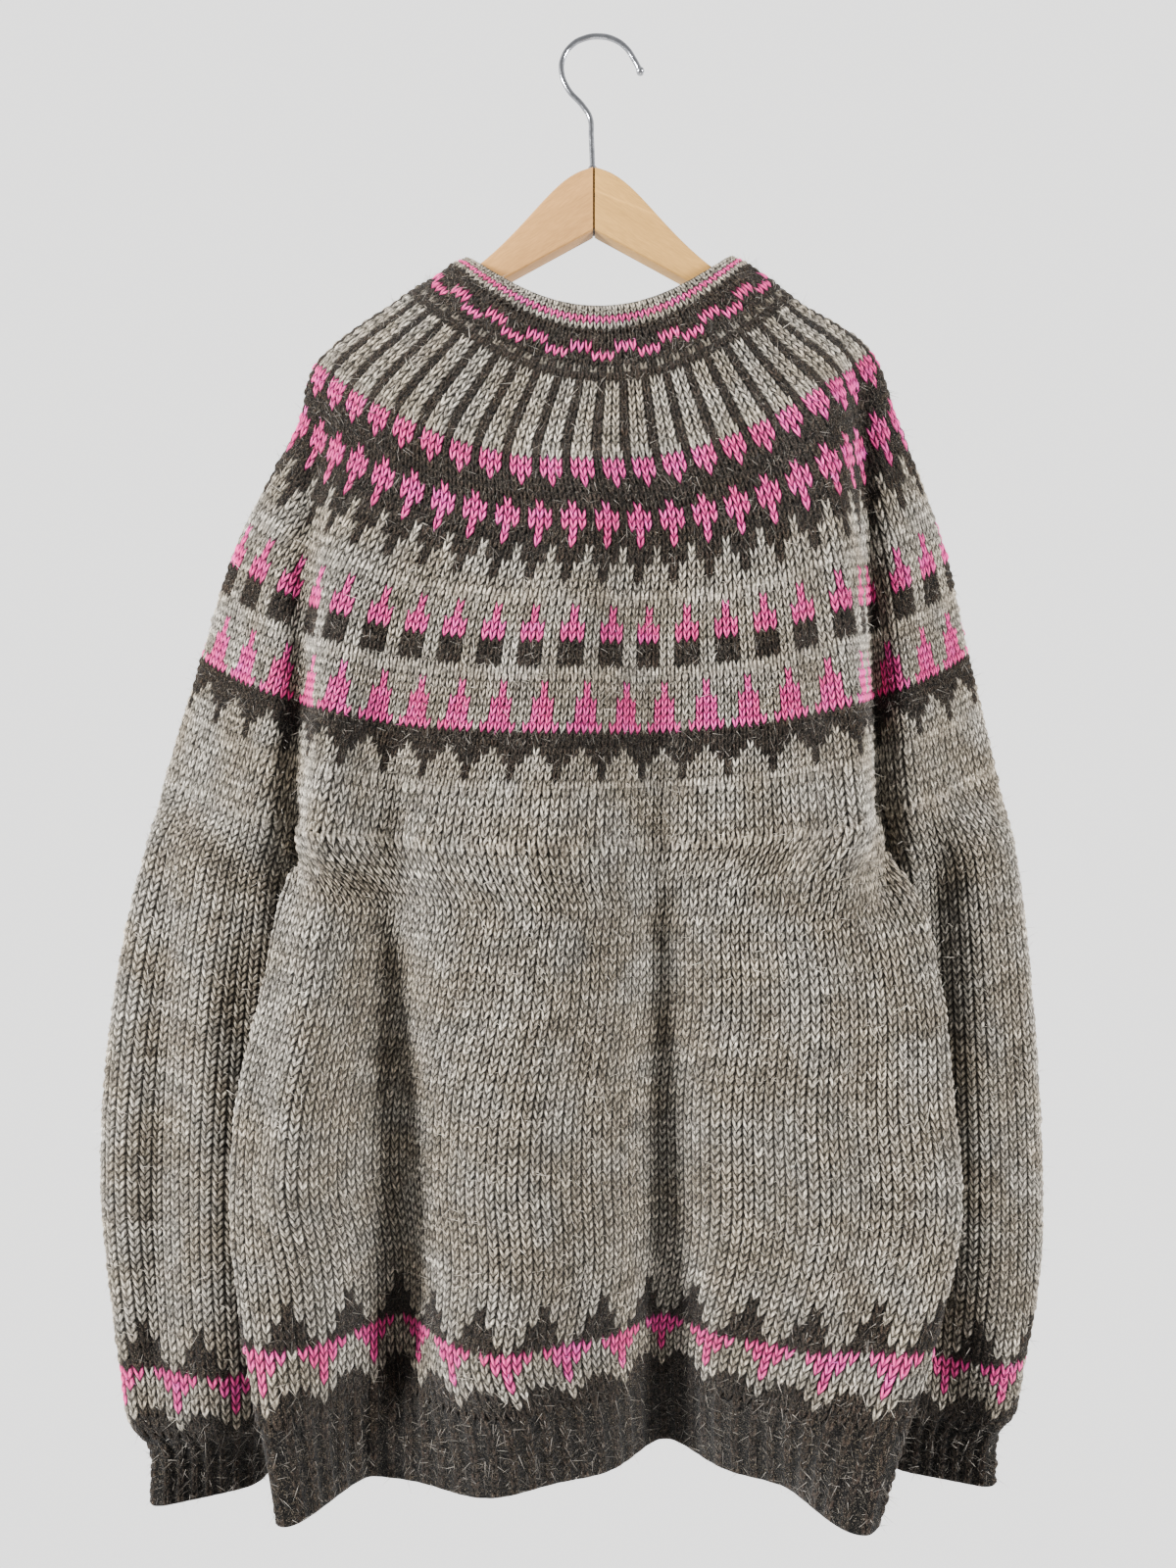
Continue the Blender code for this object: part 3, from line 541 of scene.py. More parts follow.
    # The map for baking lays the outer face over most of the
    # square, the inner one below it, the rims beside it.
    span = (all_at - share[0]) / (share[1] - share[0])
    u = MAP_MARGIN + (1 - 2 * MAP_MARGIN) * span[corner]
    v_outer = 1 - MAP_MARGIN - (1 - INNER_SHARE - 3 * MAP_MARGIN) * down[corner]
    v_inner = INNER_SHARE - MAP_MARGIN - (INNER_SHARE - 2 * MAP_MARGIN) * down[corner]
    v = np.where(corner_kind == INNER, v_inner, v_outer)
    aside = inside[corner] * MAP_RIM
    v = v + aside * ((corner_kind == TOP_RIM).astype(float) - (corner_kind == LOW_RIM))
    u = u + aside * ((corner_kind == RIGHT_RIM).astype(float) - (corner_kind == LEFT_RIM))
    if closed:
        # A face that meets the seam ends at the map's right side, and not back at its left one.
        starts = np.concatenate([[0], np.cumsum(sizes)[:-1]])
        width = np.repeat(np.maximum.reduceat(u, starts) - np.minimum.reduceat(u, starts), sizes)
        u = np.where((width > 0.5) & (u < 0.5), 1 - MAP_MARGIN, u)
    maps = {"OFBake": np.stack([u, v], axis=1), "stitch": np.concatenate(stitch)[corner]}
    for map_name, places in maps.items():
        mesh.uv_layers.new(name=map_name).uv.foreach_set("vector", places.astype(np.float32).ravel())
    yarn = mesh.color_attributes.new("yarn", "BYTE_COLOR", "CORNER")
    tint = np.repeat(np.concatenate(tints), sizes, axis=0)
    yarn.data.foreach_set("color", np.clip(tint, 0, 1).astype(np.float32).ravel())
    # The painted shade is kept on each vertex, for the wool's colour to be darkened by.
    height = mesh.attributes.new("painted_shade", "FLOAT", "POINT")
    height.data.foreach_set("value", np.concatenate(painted_shade).astype(np.float32))
    mesh.shade_smooth()
    mesh.materials.append(wool)
    piece = bpy.data.objects.new(name, mesh)
    bpy.context.scene.collection.objects.link(piece)
    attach(piece, "root")

    # The outer faces are kept, with their facings and colours, for the loose fibres to stand on.
    kept = [number for number, block in enumerate(faces) if kinds[number][0] == OUTER and block.shape[1] == 4]
    corners = points[np.concatenate([faces[number] for number in kept])]
    facing = np.cross(corners[:, 1] - corners[:, 3], corners[:, 2] - corners[:, 0])
    facing /= np.linalg.norm(facing, axis=1)[:, None] + 1e-12
    fuzz_roots.append((corners.mean(axis=1), facing, np.concatenate([tints[number] for number in kept])))
    return piece


# Heathered wool: the yarn's colour on each stitch, mottled with lighter and darker fibres, streaked along
# each leg, with painted shade that darkens the hollows between stitches and lightens the raised legs
wool, tree, shader = new_finish(
    "heathered_wool", Roughness=0.95, Specular_IOR_Level=0.08, Sheen_Weight=0.06, Sheen_Roughness=0.5
)


def add_node(tree, kind, **settings):
    """A new node, with its options and its sockets' values."""
    node = tree.nodes.new(kind)
    for key, value in settings.items():
        if hasattr(node, key):
            setattr(node, key, value)
        else:
            node.inputs[key.replace("_", " ")].default_value = value
    return node


def ramp(tree, source, low, high, dark, light):
    """Turns a value between low and high into one between dark and light."""
    node = add_node(tree, "ShaderNodeMapRange")
    tree.links.new(source, node.inputs["Value"])
    for socket, value in zip(RANGE_ENDS, (low, high, dark, light)):
        node.inputs[socket].default_value = value
    return node.outputs["Result"]


def times(tree, *values):
    """The product of values."""
    product = values[0]
    for value in values[1:]:
        node = add_node(tree, "ShaderNodeMath", operation="MULTIPLY")
        tree.links.new(product, node.inputs[0])
        tree.links.new(value, node.inputs[1])
        product = node.outputs[0]
    return product


def noise(tree, place, **settings):
    """The value of a noise texture at a place."""
    node = add_node(tree, "ShaderNodeTexNoise", **settings)
    tree.links.new(place, node.inputs["Vector"])
    return node.outputs["Fac"]


def roughen(tree, shader, height, **settings):
    """Gives a shader's surface fine bumps."""
    bump = add_node(tree, "ShaderNodeBump", **settings)
    tree.links.new(height, bump.inputs["Height"])
    tree.links.new(bump.outputs["Normal"], shader.inputs["Normal"])


yarn_colour = add_node(tree, "ShaderNodeVertexColor", layer_name="yarn")
flecked = yarn_colour.outputs["Alpha"]
painted_shade_value = add_node(tree, "ShaderNodeAttribute", attribute_name="painted_shade")
leg_map = add_node(tree, "ShaderNodeUVMap", uv_map="stitch")
space = add_node(tree, "ShaderNodeTexCoord").outputs["Object"]

leg_scale = add_node(tree, "ShaderNodeMapping", Scale=(8.0, 2.4, 1.0))
tree.links.new(leg_map.outputs["UV"], leg_scale.inputs["Vector"])
streaks = noise(tree, leg_scale.outputs["Vector"], Scale=1.0, Detail=4.0, Roughness=0.65)
flecks = noise(tree, space, Scale=420.0, Detail=4.0, Roughness=0.7)
patches = noise(tree, space, Scale=30.0, Detail=2.0, Roughness=0.5)
# Painted shade: the colour is darker in the hollows between stitches and rows, and lighter on the raised
# legs.
painted_dip_shade = ramp(tree, painted_shade_value.outputs["Fac"], 0.10, 0.90, 0.05, 1.25)
streak_shade = ramp(tree, streaks, 0.37, 0.63, 0.36, 1.85)
fleck_shade = ramp(tree, flecks, 0.38, 0.62, 0.34, 1.92)
patch_shade = ramp(tree, patches, 0.35, 0.65, 0.84, 1.14)
fibre = times(tree, streak_shade, fleck_shade)

# The mottling counts by the yarn's share of flecks, and the rest of the yarn is plain.
plain = add_node(tree, "ShaderNodeMath", operation="SUBTRACT")
plain.inputs[0].default_value = 1.0
tree.links.new(flecked, plain.inputs[1])
mottle = add_node(tree, "ShaderNodeMath", operation="ADD")
tree.links.new(times(tree, fibre, patch_shade, flecked), mottle.inputs[0])
tree.links.new(plain.outputs[0], mottle.inputs[1])
tinted = add_node(tree, "ShaderNodeVectorMath", operation="SCALE")
tree.links.new(yarn_colour.outputs["Color"], tinted.inputs[0])
tree.links.new(times(tree, painted_dip_shade, mottle.outputs[0]), tinted.inputs["Scale"])

# Paler hairs cross the yarn, and show most on the dark wool.
hair_line = noise(tree, space, Scale=700.0, Detail=3.0, Roughness=0.6, Distortion=2.5)
haired = add_node(tree, "ShaderNodeMix", data_type="RGBA")
tree.links.new(times(tree, ramp(tree, hair_line, 0.56, 0.68, 0.0, 0.45), flecked), haired.inputs["Factor"])
tree.links.new(tinted.outputs[0], haired.inputs[6])
haired.inputs[7].default_value = (0.33, 0.28, 0.22, 1)

# The wool's fibres run from cream to brown, so the mottling changes hue a little too.
HUE_RANGE = ((0.38, 0.38, 0.38), (0.62, 0.62, 0.62), (1.05, 0.99, 0.89), (0.99, 1.0, 1.0))
hue = add_node(tree, "ShaderNodeMapRange", data_type="FLOAT_VECTOR")
tree.links.new(patches, hue.inputs["Vector"])
hue_sockets = [socket for socket in hue.inputs if socket.type == "VECTOR" and socket.name in RANGE_ENDS]
for socket, value in zip(hue_sockets, HUE_RANGE):
    socket.default_value = value
hued = add_node(tree, "ShaderNodeVectorMath", operation="MULTIPLY")
tree.links.new(haired.outputs[2], hued.inputs[0])
tree.links.new(hue.outputs["Vector"], hued.inputs[1])
tree.links.new(hued.outputs[0], shader.inputs["Base Color"])
roughen(tree, shader, fibre, Strength=0.8, Distance=0.0007)

# Charts, one line a row, repeated round: the zigzag below the neck, the columns with two bands of motifs,
# and two bands of triangles, each band with more stitches to a repeat than the one above it
REPEATS = 44
ZIGZAG = ("D", "DPPPDD", "PDDDPP", "D", "MD")
COLUMNS = ("D",) + ("GGD",) * 9
TWO_BANDS = (
    "GGGD", "PPPD", "PPPD", "DPDD", "D", "D",
    "DDDP", "PDPP", "PDPP", "DDDP", "DDDP",
    "DGDD", "DGDD", "GGGD", "GGGD", "G", "G",
)
UPPER_TRIANGLES = ("G", "GPGGG", "GPGGG", "PPPGG", "PPPGG", "DDDGG", "DDDGG", "DDDGG", "G")
LOWER_TRIANGLES = (
    "G", "GGGGPG", "GGGGPG", "GGGPPP", "GGGPPP", "GGGPPP", "PGPPPP",
    "D", "D", "DDDDGD", "DDDGGG", "GDGGGG", "GDGGGG", "G",
)
NECKBAND_END = 3.4
NECK_STITCHES = 108
YOKE_SECTIONS = (
    (NECKBAND_END, 7.4, NECK_STITCHES, ZIGZAG, False, (0.75, 0.85, 0.85, 0.7, 0.85)),
    (7.4, 16.95, REPEATS * 3, COLUMNS, False),
    (16.95, 33.9, REPEATS * 4, TWO_BANDS, False),
    (33.9, 42.6, REPEATS * 5, UPPER_TRIANGLES, False),
    (42.6, 55.6, REPEATS * 6, LOWER_TRIANGLES, False),
    (55.6, 62.0, REPEATS * 5, ("G",) * 6, False),
)


def band_edges(tube):
    """The turns at which the knitted sheet starts and ends, on each side of the button band."""
    rows, left = tube.turns_at_x(-BAND_WIDTH / 2)
    _, right = tube.turns_at_x(BAND_WIDTH / 2)
    return (rows, left - 2.0), (rows, right)


def side_shares(edges, row):
    """How far round the sheet its left and right side folds lie."""
    left, right = (float(np.interp(row, *edge)) for edge in edges)
    return (0.0 - left) / (right - left), (1.0 - left) / (right - left)


def knit_panels(name, tube, sections, edges, fold_row, seed):
    """A tube's back and two fronts, parted at its side folds."""
    left_fold, right_fold = side_shares(edges, fold_row)
    shares = ((left_fold, right_fold), (0.0, left_fold), (right_fold, 1.0))
    for panel, share in zip(PANELS, shares):
        piece = knit(
            f"{name}_{panel}", tube, sections, edges, share, seed,
        )
        widths = ("_left", "_middle", "_right") if panel == "back" else ("",)
        solids = [f"{level}_{panel}{width}" for level in ("upper", "lower") for width in widths]
        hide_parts(*[f"{name}_{solid}" for solid in solids])


PANELS = ("back", "front_left", "front_right")
YOKE_FOLD_ROW = 40.0
yoke_edges = band_edges(yoke)
knit_panels(
    "yoke", yoke, YOKE_SECTIONS, yoke_edges, YOKE_FOLD_ROW, seed=11,
)


# Neckband
# The last rows at the neck: a pink row and a grey one, and a plain grey edge that rolls over a little.
NECKBAND_CHART = ("G", "G", "P", "G", "D")
NECKBAND_HEIGHTS = (0.75, 0.55, 0.75, 0.75, 0.6)
neckband = knit(
    "neckband_knit", yoke, ((0.0, NECKBAND_END, NECK_STITCHES, NECKBAND_CHART, False, NECKBAND_HEIGHTS),),
    yoke_edges, (0.0, 1.0), seed=12,
    joins=(False, True),
)
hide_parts("neckband")


# Body
# The body is knitted on from the yoke, plain grey down to
# the stranded border, and ends in a dark ribbed hem.
BODY_RINGS = (
    (62, -178, -2, -491, 175, -2, -491, 15, 17, 56, 28, 12, 2.6, 0.62, 0.86),
    (66, -180, -17, -513, 177, -22, -513, 15, 17, 55, 28, 11, 2.6, 0.62, 0.86),
    (70, -186, -34, -535, 189, -42, -535, 14, 16, 54, 28, 10, 2.6, 0.62, 0.86),
    (80, -195, -44, -590, 203, -47, -590, 11, 13, 52, 29, 10, 2.6, 0.62, 0.86),
    (92, -209, -47, -655, 210, -48, -655, 8, 10, 50, 30, 10, 2.6, 0.62, 0.86),
    (104, -213, -48, -722, 215, -48, -722, 5, 7, 47, 31, 10, 2.6, 0.62, 0.86),
    (118, -203, -55, -798, 196, -58, -798, 2, 4, 44, 32, 10, 2.6, 0.66, 0.92),
    (125, -192, -65, -838, 179, -67, -838, 0, 2, 42, 32, 10, 2.6, 0.70, 0.96),
    (134, -177, -82, -884, 157, -82, -884, 0, 0, 40, 32, 10, 2.6, 0.72, 0.98),
)
# The row at which the body and the sleeves part, and how often a first row's corners are rounded
SPLIT_ROW = 62
CORNER_SOFTENING = 14
# Under each arm, the sleeve's edge and the body's edge along X
ARMPIT_LEFT = (-183.0, -178.2)
ARMPIT_RIGHT = (175.2, 180.0)


def at_x(line, x):
    """The point of a line at X."""
    line = line if line[-1, 0] > line[0, 0] else line[::-1]
    return np.array([np.interp(x, line[:, 0], line[:, axis]) for axis in range(3)])


def between(line, low, high):
    """The stretch of a line whose X lies between two values, with its ends exactly on them."""
    inside = line[(line[:, 0] > low) & (line[:, 0] < high)]
    ends = [at_x(line, low)[None, :], at_x(line, high)[None, :]]
    if line[-1, 0] < line[0, 0]:
        ends.reverse()
    return np.vstack([ends[0], inside, ends[1]])


def underarm(layers, x):
    """The middle of an underarm at X: halfway between the back and the front of the yoke's last row."""
    return (at_x(layers[0], x) + at_x(layers[1], x)) / 2


def soften(line):
    """The line with its corners rounded and its ends kept."""
    line = line.copy()
    for _ in range(CORNER_SOFTENING):
        line[1:-1] = (line[:-2] + 2 * line[1:-1] + line[2:]) / 4
    return line


def split_rows(tube):
    """The first rows of the body and of each sleeve, taken from the yoke's last row."""
    layers = tube.layers(SPLIT_ROW)
    back, front = layers
    left_end, right_end = back[0, 0], back[-1, 0]

    def first_row(low, high):
        """Its back and its front between two places along X, closed under the arms."""
        start, stop = (
            [] if x in (left_end, right_end) else [underarm(layers, x)[None, :]] for x in (low, high)
        )
        return (
            soften(evenly(np.vstack([*start, between(back, low, high), *stop]))),
            soften(evenly(np.vstack([*stop, between(front, low, high), *start]))),
        )

    left_out, left_in = ARMPIT_LEFT
    right_in, right_out = ARMPIT_RIGHT
    return first_row(left_in, right_in), first_row(left_end, left_out), first_row(right_out, right_end)


body_start, left_start, right_start = split_rows(yoke)
body = Tube(BODY_RINGS, BACK_FOLDS, FRONT_FOLDS, start=body_start)
BODY_STITCHES = 150
BORDER = (
    "GGGGGD", "GGGGGD", "DGGGDD", "DGGGDD", "DDGDDD",
    "PPPPPG", "GPPPGG", "GGPGGG", "GGPGGG", "DGGGDD", "DDGDDD", "D",
)
BODY_SECTIONS = ((62.0, 125.0, BODY_STITCHES, ("G",) * 51 + BORDER, False),)
BODY_FOLD_ROW = 100.0
body_edges = band_edges(body)
knit_panels(
    "body", body, BODY_SECTIONS, body_edges, BODY_FOLD_ROW, seed=13,
)


# Hem
# Dark single rib, one knit and one purl stitch in turn, that draws the hem in a little.
HEM_SECTIONS = ((125.0, 134.0, BODY_STITCHES, ("D",) * 9, True),)
hem = knit(
    "hem_rib", body, HEM_SECTIONS, body_edges, (0.0, 1.0), seed=14,
    joins=(True, False),
)
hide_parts("hem_rib_back", "hem_rib_front_left", "hem_rib_front_right")


# Sleeves and cuffs
# Each sleeve is a knitted tube taken up from the yoke's edge and closed under the arm, with the same
# border as the body and a ribbed cuff that gathers it in.
LEFT_SLEEVE_RINGS = tuple(ring + (2.2, 0.6, 1.0) for ring in (
    (0, -268, 0, -465.5, -183, -2, -491, 3, 3, 27, 25, 24),
    (8, -277, 0, -505, -186, 0, -533, 2, 2, 26, 25, 24),
    (20, -292, -2, -571, -187, -1, -590, 1, 1, 25, 25, 24),
    (34, -302, -3, -645, -189, -1, -655, 0, 0, 25, 26, 24),
    (48, -305, -3, -717, -191, -1, -722, 0, 0, 25, 26, 24),
    (60, -299, -5, -777, -194, -1, -782, 0, 0, 25, 25, 24),
    (70, -289, -11, -832, -196, -3, -835, 0, 0, 24, 24, 23),
    (75, -281, -18, -860, -199, -4, -862, 0, 0, 20, 20, 20),
    (77, -271, -22, -869, -203, -5, -870, 0, 0, 15, 15, 15),
    (84, -266, -29, -902, -204, -7, -900, 0, 0, 14, 14, 14),
))
RIGHT_SLEEVE_RINGS = tuple(ring + (2.2, 0.6, 1.0) for ring in (
    (0, 180, -2, -491, 251, 0, -459.5, 3, 3, 27, 25, 24),
    (8, 183, 0, -531, 260, 0, -503, 2, 2, 26, 25, 24),
    (20, 184, -1, -588, 268, -2, -570, 1, 1, 25, 25, 24),
    (34, 184, -1, -653, 274, -3, -645, 0, 0, 25, 26, 24),
    (48, 184, -1, -720, 277, -3, -717, 0, 0, 25, 26, 24),
    (60, 184, -1, -777, 274, -5, -775, 0, 0, 25, 25, 24),
    (70, 184, -3, -827, 262, -11, -825, 0, 0, 24, 24, 23),
    (75, 184, -4, -852, 253, -18, -850, 0, 0, 20, 20, 20),
    (77, 184, -5, -860, 245, -22, -859, 0, 0, 15, 15, 15),
    (84, 182, -7, -891, 240, -29, -890, 0, 0, 14, 14, 14),
))
SLEEVE_BACK_FOLDS = {
    "left_sleeve_ridge": (-236, -500, -228, -840, 14, 18, -5, -7),
    "left_sleeve_trough": (-263, -520, -268, -820, 11, 13, 5, 6),
    "right_sleeve_ridge": (232, -520, 240, -830, 14, 16, -5, -6),
    "right_sleeve_trough": (208, -500, 210, -800, 10, 12, 4, 6),
}
SLEEVE_FRONT_FOLDS = {
    "left_sleeve_hollow": (-246, -560, -240, -840, 16, 18, -4, -6),
    "right_sleeve_hollow": (236, -560, 234, -830, 16, 18, -4, -6),
}
CUFF_ROW = 75.6
SLEEVE_END = 84.0
SLEEVE_STITCHES = 42
SLEEVE_SECTIONS = ((0.0, CUFF_ROW, SLEEVE_STITCHES, ("G",) * 64 + BORDER, False),)
CUFF_SECTIONS = ((CUFF_ROW, SLEEVE_END, SLEEVE_STITCHES, ("D",) * 8, True),)
for number, (side, rings, start) in enumerate(
    (("left", LEFT_SLEEVE_RINGS, left_start), ("right", RIGHT_SLEEVE_RINGS, right_start))
):
    tube = Tube(rings, SLEEVE_BACK_FOLDS, SLEEVE_FRONT_FOLDS, leans=True, start=start)
    sleeve = knit(
        f"sleeve_{side}", tube, SLEEVE_SECTIONS, whole_round, (0.0, 1.0), seed=20 + number,
    )
    quarters = [f"{level}_{layer}" for level in ("upper", "lower") for layer in ("back", "front")]
    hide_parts(*[f"sleeve_{side}_{quarter}" for quarter in quarters])
    cuff = knit(
        f"cuff_rib_{side}", tube, CUFF_SECTIONS, whole_round, (0.0, 1.0), seed=30 + number,
        joins=(True, False),
    )
    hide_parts(f"cuff_{side}")


# Button bands
# Two narrow bands of dark rib, knitted along the front edges.
# The right one lies over the left one and carries the buttons.
BAND_ROWS = 134
BAND_STITCHES = 8
BAND_OVERLAP = 6.0
BAND_CLEARANCE = 0.15
OUTER_BAND_LIFT = 5.4
STRIP_POINTS = 13


def front_strip(right_x, left_x):
    """The cloth between two distances from the middle of the front, from the neck edge to the hem."""
    grid = []
    edges = {tube: (tube.turns_at_x(right_x), tube.turns_at_x(left_x)) for tube in (yoke, body)}
    for row in np.arange(0, BAND_ROWS + GRID_STEP, GRID_STEP):
        tube = yoke if row < SPLIT_ROW else body
        right, left = (float(np.interp(row, *edge)) for edge in edges[tube])
        turns = np.linspace(right, left, STRIP_POINTS)
        grid.append(tube.at(np.full(STRIP_POINTS, row), turns)[0])
    return Cloth(np.array(grid), 0.0, float(BAND_ROWS), 1.0, False)


BAND_SECTIONS = ((0.0, float(BAND_ROWS), BAND_STITCHES, ("D",) * BAND_ROWS, True),)
half_band = BAND_WIDTH / 2 - BAND_CLEARANCE
for number, (name, right_x, lift, width, under) in enumerate((
    ("button_band_left", half_band, 0.0, 0.036, "yoke_front_left"),
    ("button_band_right", half_band + BAND_OVERLAP, OUTER_BAND_LIFT, 0.042, "button_band_left_knit"),
)):
    band = knit(
        f"{name}_knit", front_strip(right_x, -half_band), BAND_SECTIONS, edges_at(0.0, 1.0), (0.0, 1.0),
        seed=40 + number, lift=lift, joins=(False, False),
    )
    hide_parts(name)


# Buttons
# Seven turned horn buttons, each with a raised rim, a dished middle and four holes, sewn on with dark yarn.
BUTTON_COUNT = 7
BUTTON_RADIUS = 9.0 * MM
BUTTON_THICKNESS = 4.0 * MM
BUTTON_CLEARANCE = 0.6
BUTTON_SEAT = WALL / 2 + OUTER_BAND_LIFT + BUTTON_CLEARANCE
FIRST_BUTTON_ROW = 5.0
# The rim, the slope inside it and the dished middle: width and depth of each
BUTTON_FACE = ((1.7, 0.0), (0.9, -0.9), (2.2, -0.25))
BUTTON_ROUNDING = 0.5
HOLE_OFFSET = 2.1 * MM
HOLE_RADIUS = 0.95 * MM
THREAD_RADIUS = 0.55 * MM
THREAD_LENGTH = 2 * HOLE_OFFSET + 1.0 * MM
THREAD_LEVEL = 3.05 * MM
THREAD_PAINTED_SHADE = 0.6


def colour_ramp(tree, source, *stops):
    """The colour that a value stands for. Each stop is (value, colour)."""
    node = add_node(tree, "ShaderNodeValToRGB")
    tree.links.new(source, node.inputs["Fac"])
    for element, (position, colour) in zip(node.color_ramp.elements, stops):
        element.position = position
        element.color = (*colour, 1)
    return node.outputs["Color"]


def round_edges(piece, width, **settings):
    """Rounds a piece's edges by a width in millimetres."""
    bpy.context.view_layer.objects.active = piece
    rounding = piece.modifiers.new("rounding", "BEVEL")
    rounding.width = width * MM
    for key, value in settings.items():
        setattr(rounding, key, value)
    bpy.ops.object.modifier_apply(modifier="rounding")


horn, horn_tree, horn_shader = new_finish("dark_horn", Roughness=0.32, Coat_Weight=0.25)
horn_space = add_node(horn_tree, "ShaderNodeTexCoord").outputs["Object"]
horn_clouds = noise(horn_tree, horn_space, Scale=130.0, Detail=5.0, Roughness=0.55, Distortion=1.2)
horn_tones = colour_ramp(horn_tree, horn_clouds, (0.35, (0.018, 0.011, 0.007)), (0.72, (0.16, 0.085, 0.04)))
horn_tree.links.new(horn_tones, horn_shader.inputs["Base Color"])

bpy.ops.object.select_all(action="DESELECT")
bpy.ops.mesh.primitive_cylinder_add(
    vertices=48, radius=BUTTON_RADIUS, depth=BUTTON_THICKNESS, location=(0, 0, BUTTON_THICKNESS / 2)
)
button = bpy.context.object
button.name = "button_blank"
bpy.ops.object.mode_set(mode="EDIT")
bpy.ops.mesh.select_all(action="DESELECT")
bpy.ops.object.mode_set(mode="OBJECT")
for face in button.data.polygons:
    face.select = face.normal.z > 0.9
bpy.ops.object.mode_set(mode="EDIT")
bpy.ops.mesh.select_mode(type="FACE")
for width, depth in BUTTON_FACE:
    bpy.ops.mesh.inset(thickness=width * MM, depth=depth * MM)
bpy.ops.object.mode_set(mode="OBJECT")
round_edges(button, BUTTON_ROUNDING, segments=2, angle_limit=math.radians(35))
for across in (-1, 1):
    for along in (-1, 1):
        bpy.ops.object.select_all(action="DESELECT")
        bpy.ops.mesh.primitive_cylinder_add(
            vertices=14, radius=HOLE_RADIUS, depth=BUTTON_THICKNESS * 3,
            location=(across * HOLE_OFFSET, along * HOLE_OFFSET, BUTTON_THICKNESS / 2),
        )
        drill = bpy.context.object
        bpy.context.view_layer.objects.active = button
        bore = button.modifiers.new("bore", "BOOLEAN")
        bore.operation = "DIFFERENCE"
        bore.solver = "EXACT"
        bore.object = drill
        bpy.ops.object.modifier_apply(modifier="bore")
        bpy.data.objects.remove(drill, do_unlink=True)
button.data.materials.append(horn)
button.data.shade_smooth()

# Two stitches of yarn over the middle of each button
for along in (-1, 1):
    bpy.ops.object.select_all(action="DESELECT")
    bpy.ops.mesh.primitive_cylinder_add(
        vertices=10, radius=THREAD_RADIUS, depth=THREAD_LENGTH,
        location=(0, along * HOLE_OFFSET, THREAD_LEVEL), rotation=(0, math.pi / 2, 0),
    )
    thread = bpy.context.object
    thread.data.materials.append(wool)
    tint = thread.data.color_attributes.new("yarn", "BYTE_COLOR", "CORNER")
    tint.data.foreach_set("color", np.tile((*YARNS["D"], 1.0), len(thread.data.loops)).astype(np.float32))
    # The thread takes an even painted shade, so that the wool's colour darkens it a little.
    height = thread.data.attributes.new("painted_shade", "FLOAT", "POINT")
    height.data.foreach_set("value", np.full(len(thread.data.vertices), THREAD_PAINTED_SHADE, np.float32))
    thread.select_set(True)
    button.select_set(True)
    bpy.context.view_layer.objects.active = button
    bpy.ops.object.join()
bpy.ops.object.select_all(action="DESELECT")

last_button_row = BAND_ROWS - FIRST_BUTTON_ROW
for number in range(BUTTON_COUNT):
    row = FIRST_BUTTON_ROW + (last_button_row - FIRST_BUTTON_ROW) * number / (BUTTON_COUNT - 1)
    tube = yoke if row < SPLIT_ROW else body
    rows, turns = tube.turns_at_x(0.0)
    turn = float(np.interp(row, rows, turns))
    seat, outward = tube.at(np.array([row]), np.array([turn]))
    level = outward[0] * (1, 1, 0)
    seat = seat[0] + level / np.linalg.norm(level) * BUTTON_SEAT
    bpy.ops.object.select_all(action="DESELECT")
    button.select_set(True)
    bpy.context.view_layer.objects.active = button
    bpy.ops.object.duplicate()
    copy = bpy.context.object
    copy.name = f"horn_button_{number + 1}"
    copy.location = seat * MM
    copy.rotation_euler = (-math.pi / 2, 0, 0)
    bpy.ops.object.transform_apply(location=True, rotation=True, scale=True)
    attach(copy, "root")
    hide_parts(f"button_{number + 1}")
bpy.data.objects.remove(button, do_unlink=True)


# Hanger arms
# Two arms of beech, sawn from board, rounded over along the edges, lacquered and butted together at the
# crown, where the joint has opened a little; a dark sliver in it is painted shade for the shadow in the slit.
ARM_COLUMNS = ("out", "top_z", "low_z", "depth")
ARM_SECTIONS = (
    (0, -83, -123, 12), (10, -85, -128.6, 12), (20, -92, -134, 12), (30, -102, -139.4, 12),
    (40, -113.5, -144.9, 12), (52, -126.5, -151.5, 12), (64, -138, -158, 12), (76, -148, -165, 12),
    (92, -157.5, -174.5, 12), (112, -169, -187, 12), (132, -181, -199, 12), (150, -193.5, -210, 12),
    (160, -202, -214, 9), (165, -207, -213, 5),
)
ARM_STEPS = 40
ARM_SMOOTHING = 6
ARM_ROUNDING = 2.4
# The lower edges are rounded by this share of the upper
# ones' rounding. An edge along the arm is longer than this.
LOWER_ROUNDING = 0.45
LONG_EDGE = 0.5
# Half the joint's width, and the size, level and rounding of the dark sliver of painted shade in it
JOINT_OPEN = 0.6
SLIVER_SLACK = 0.03
SLIVER_SIZE = (2 * (JOINT_OPEN - SLIVER_SLACK), 10, 38.4)
SLIVER_LEVEL = -103.2
SLIVER_ROUNDING = 0.3
# The grain's slope in degrees, and in metres the size of its broad bands and of its flecks
GRAIN_SLOPE = 33
GRAIN_BANDS = (0.16, 0.02, 0.014)
GRAIN_FLECKS = (0.006, 0.0009, 0.0006)
# The paler line on the right arm: where it passes the
# middle, its slope, and where it starts to fade and ends
LINE_PLACE = (0, 0, -0.0985)
LINE_SLOPE = 22
LINE_EDGES = (0.0002, 0.0011)
LINE_SHADE = 1.22
BEECH_TONES = {"left": (0.430, 0.220, 0.070), "right": (0.430, 0.235, 0.063)}
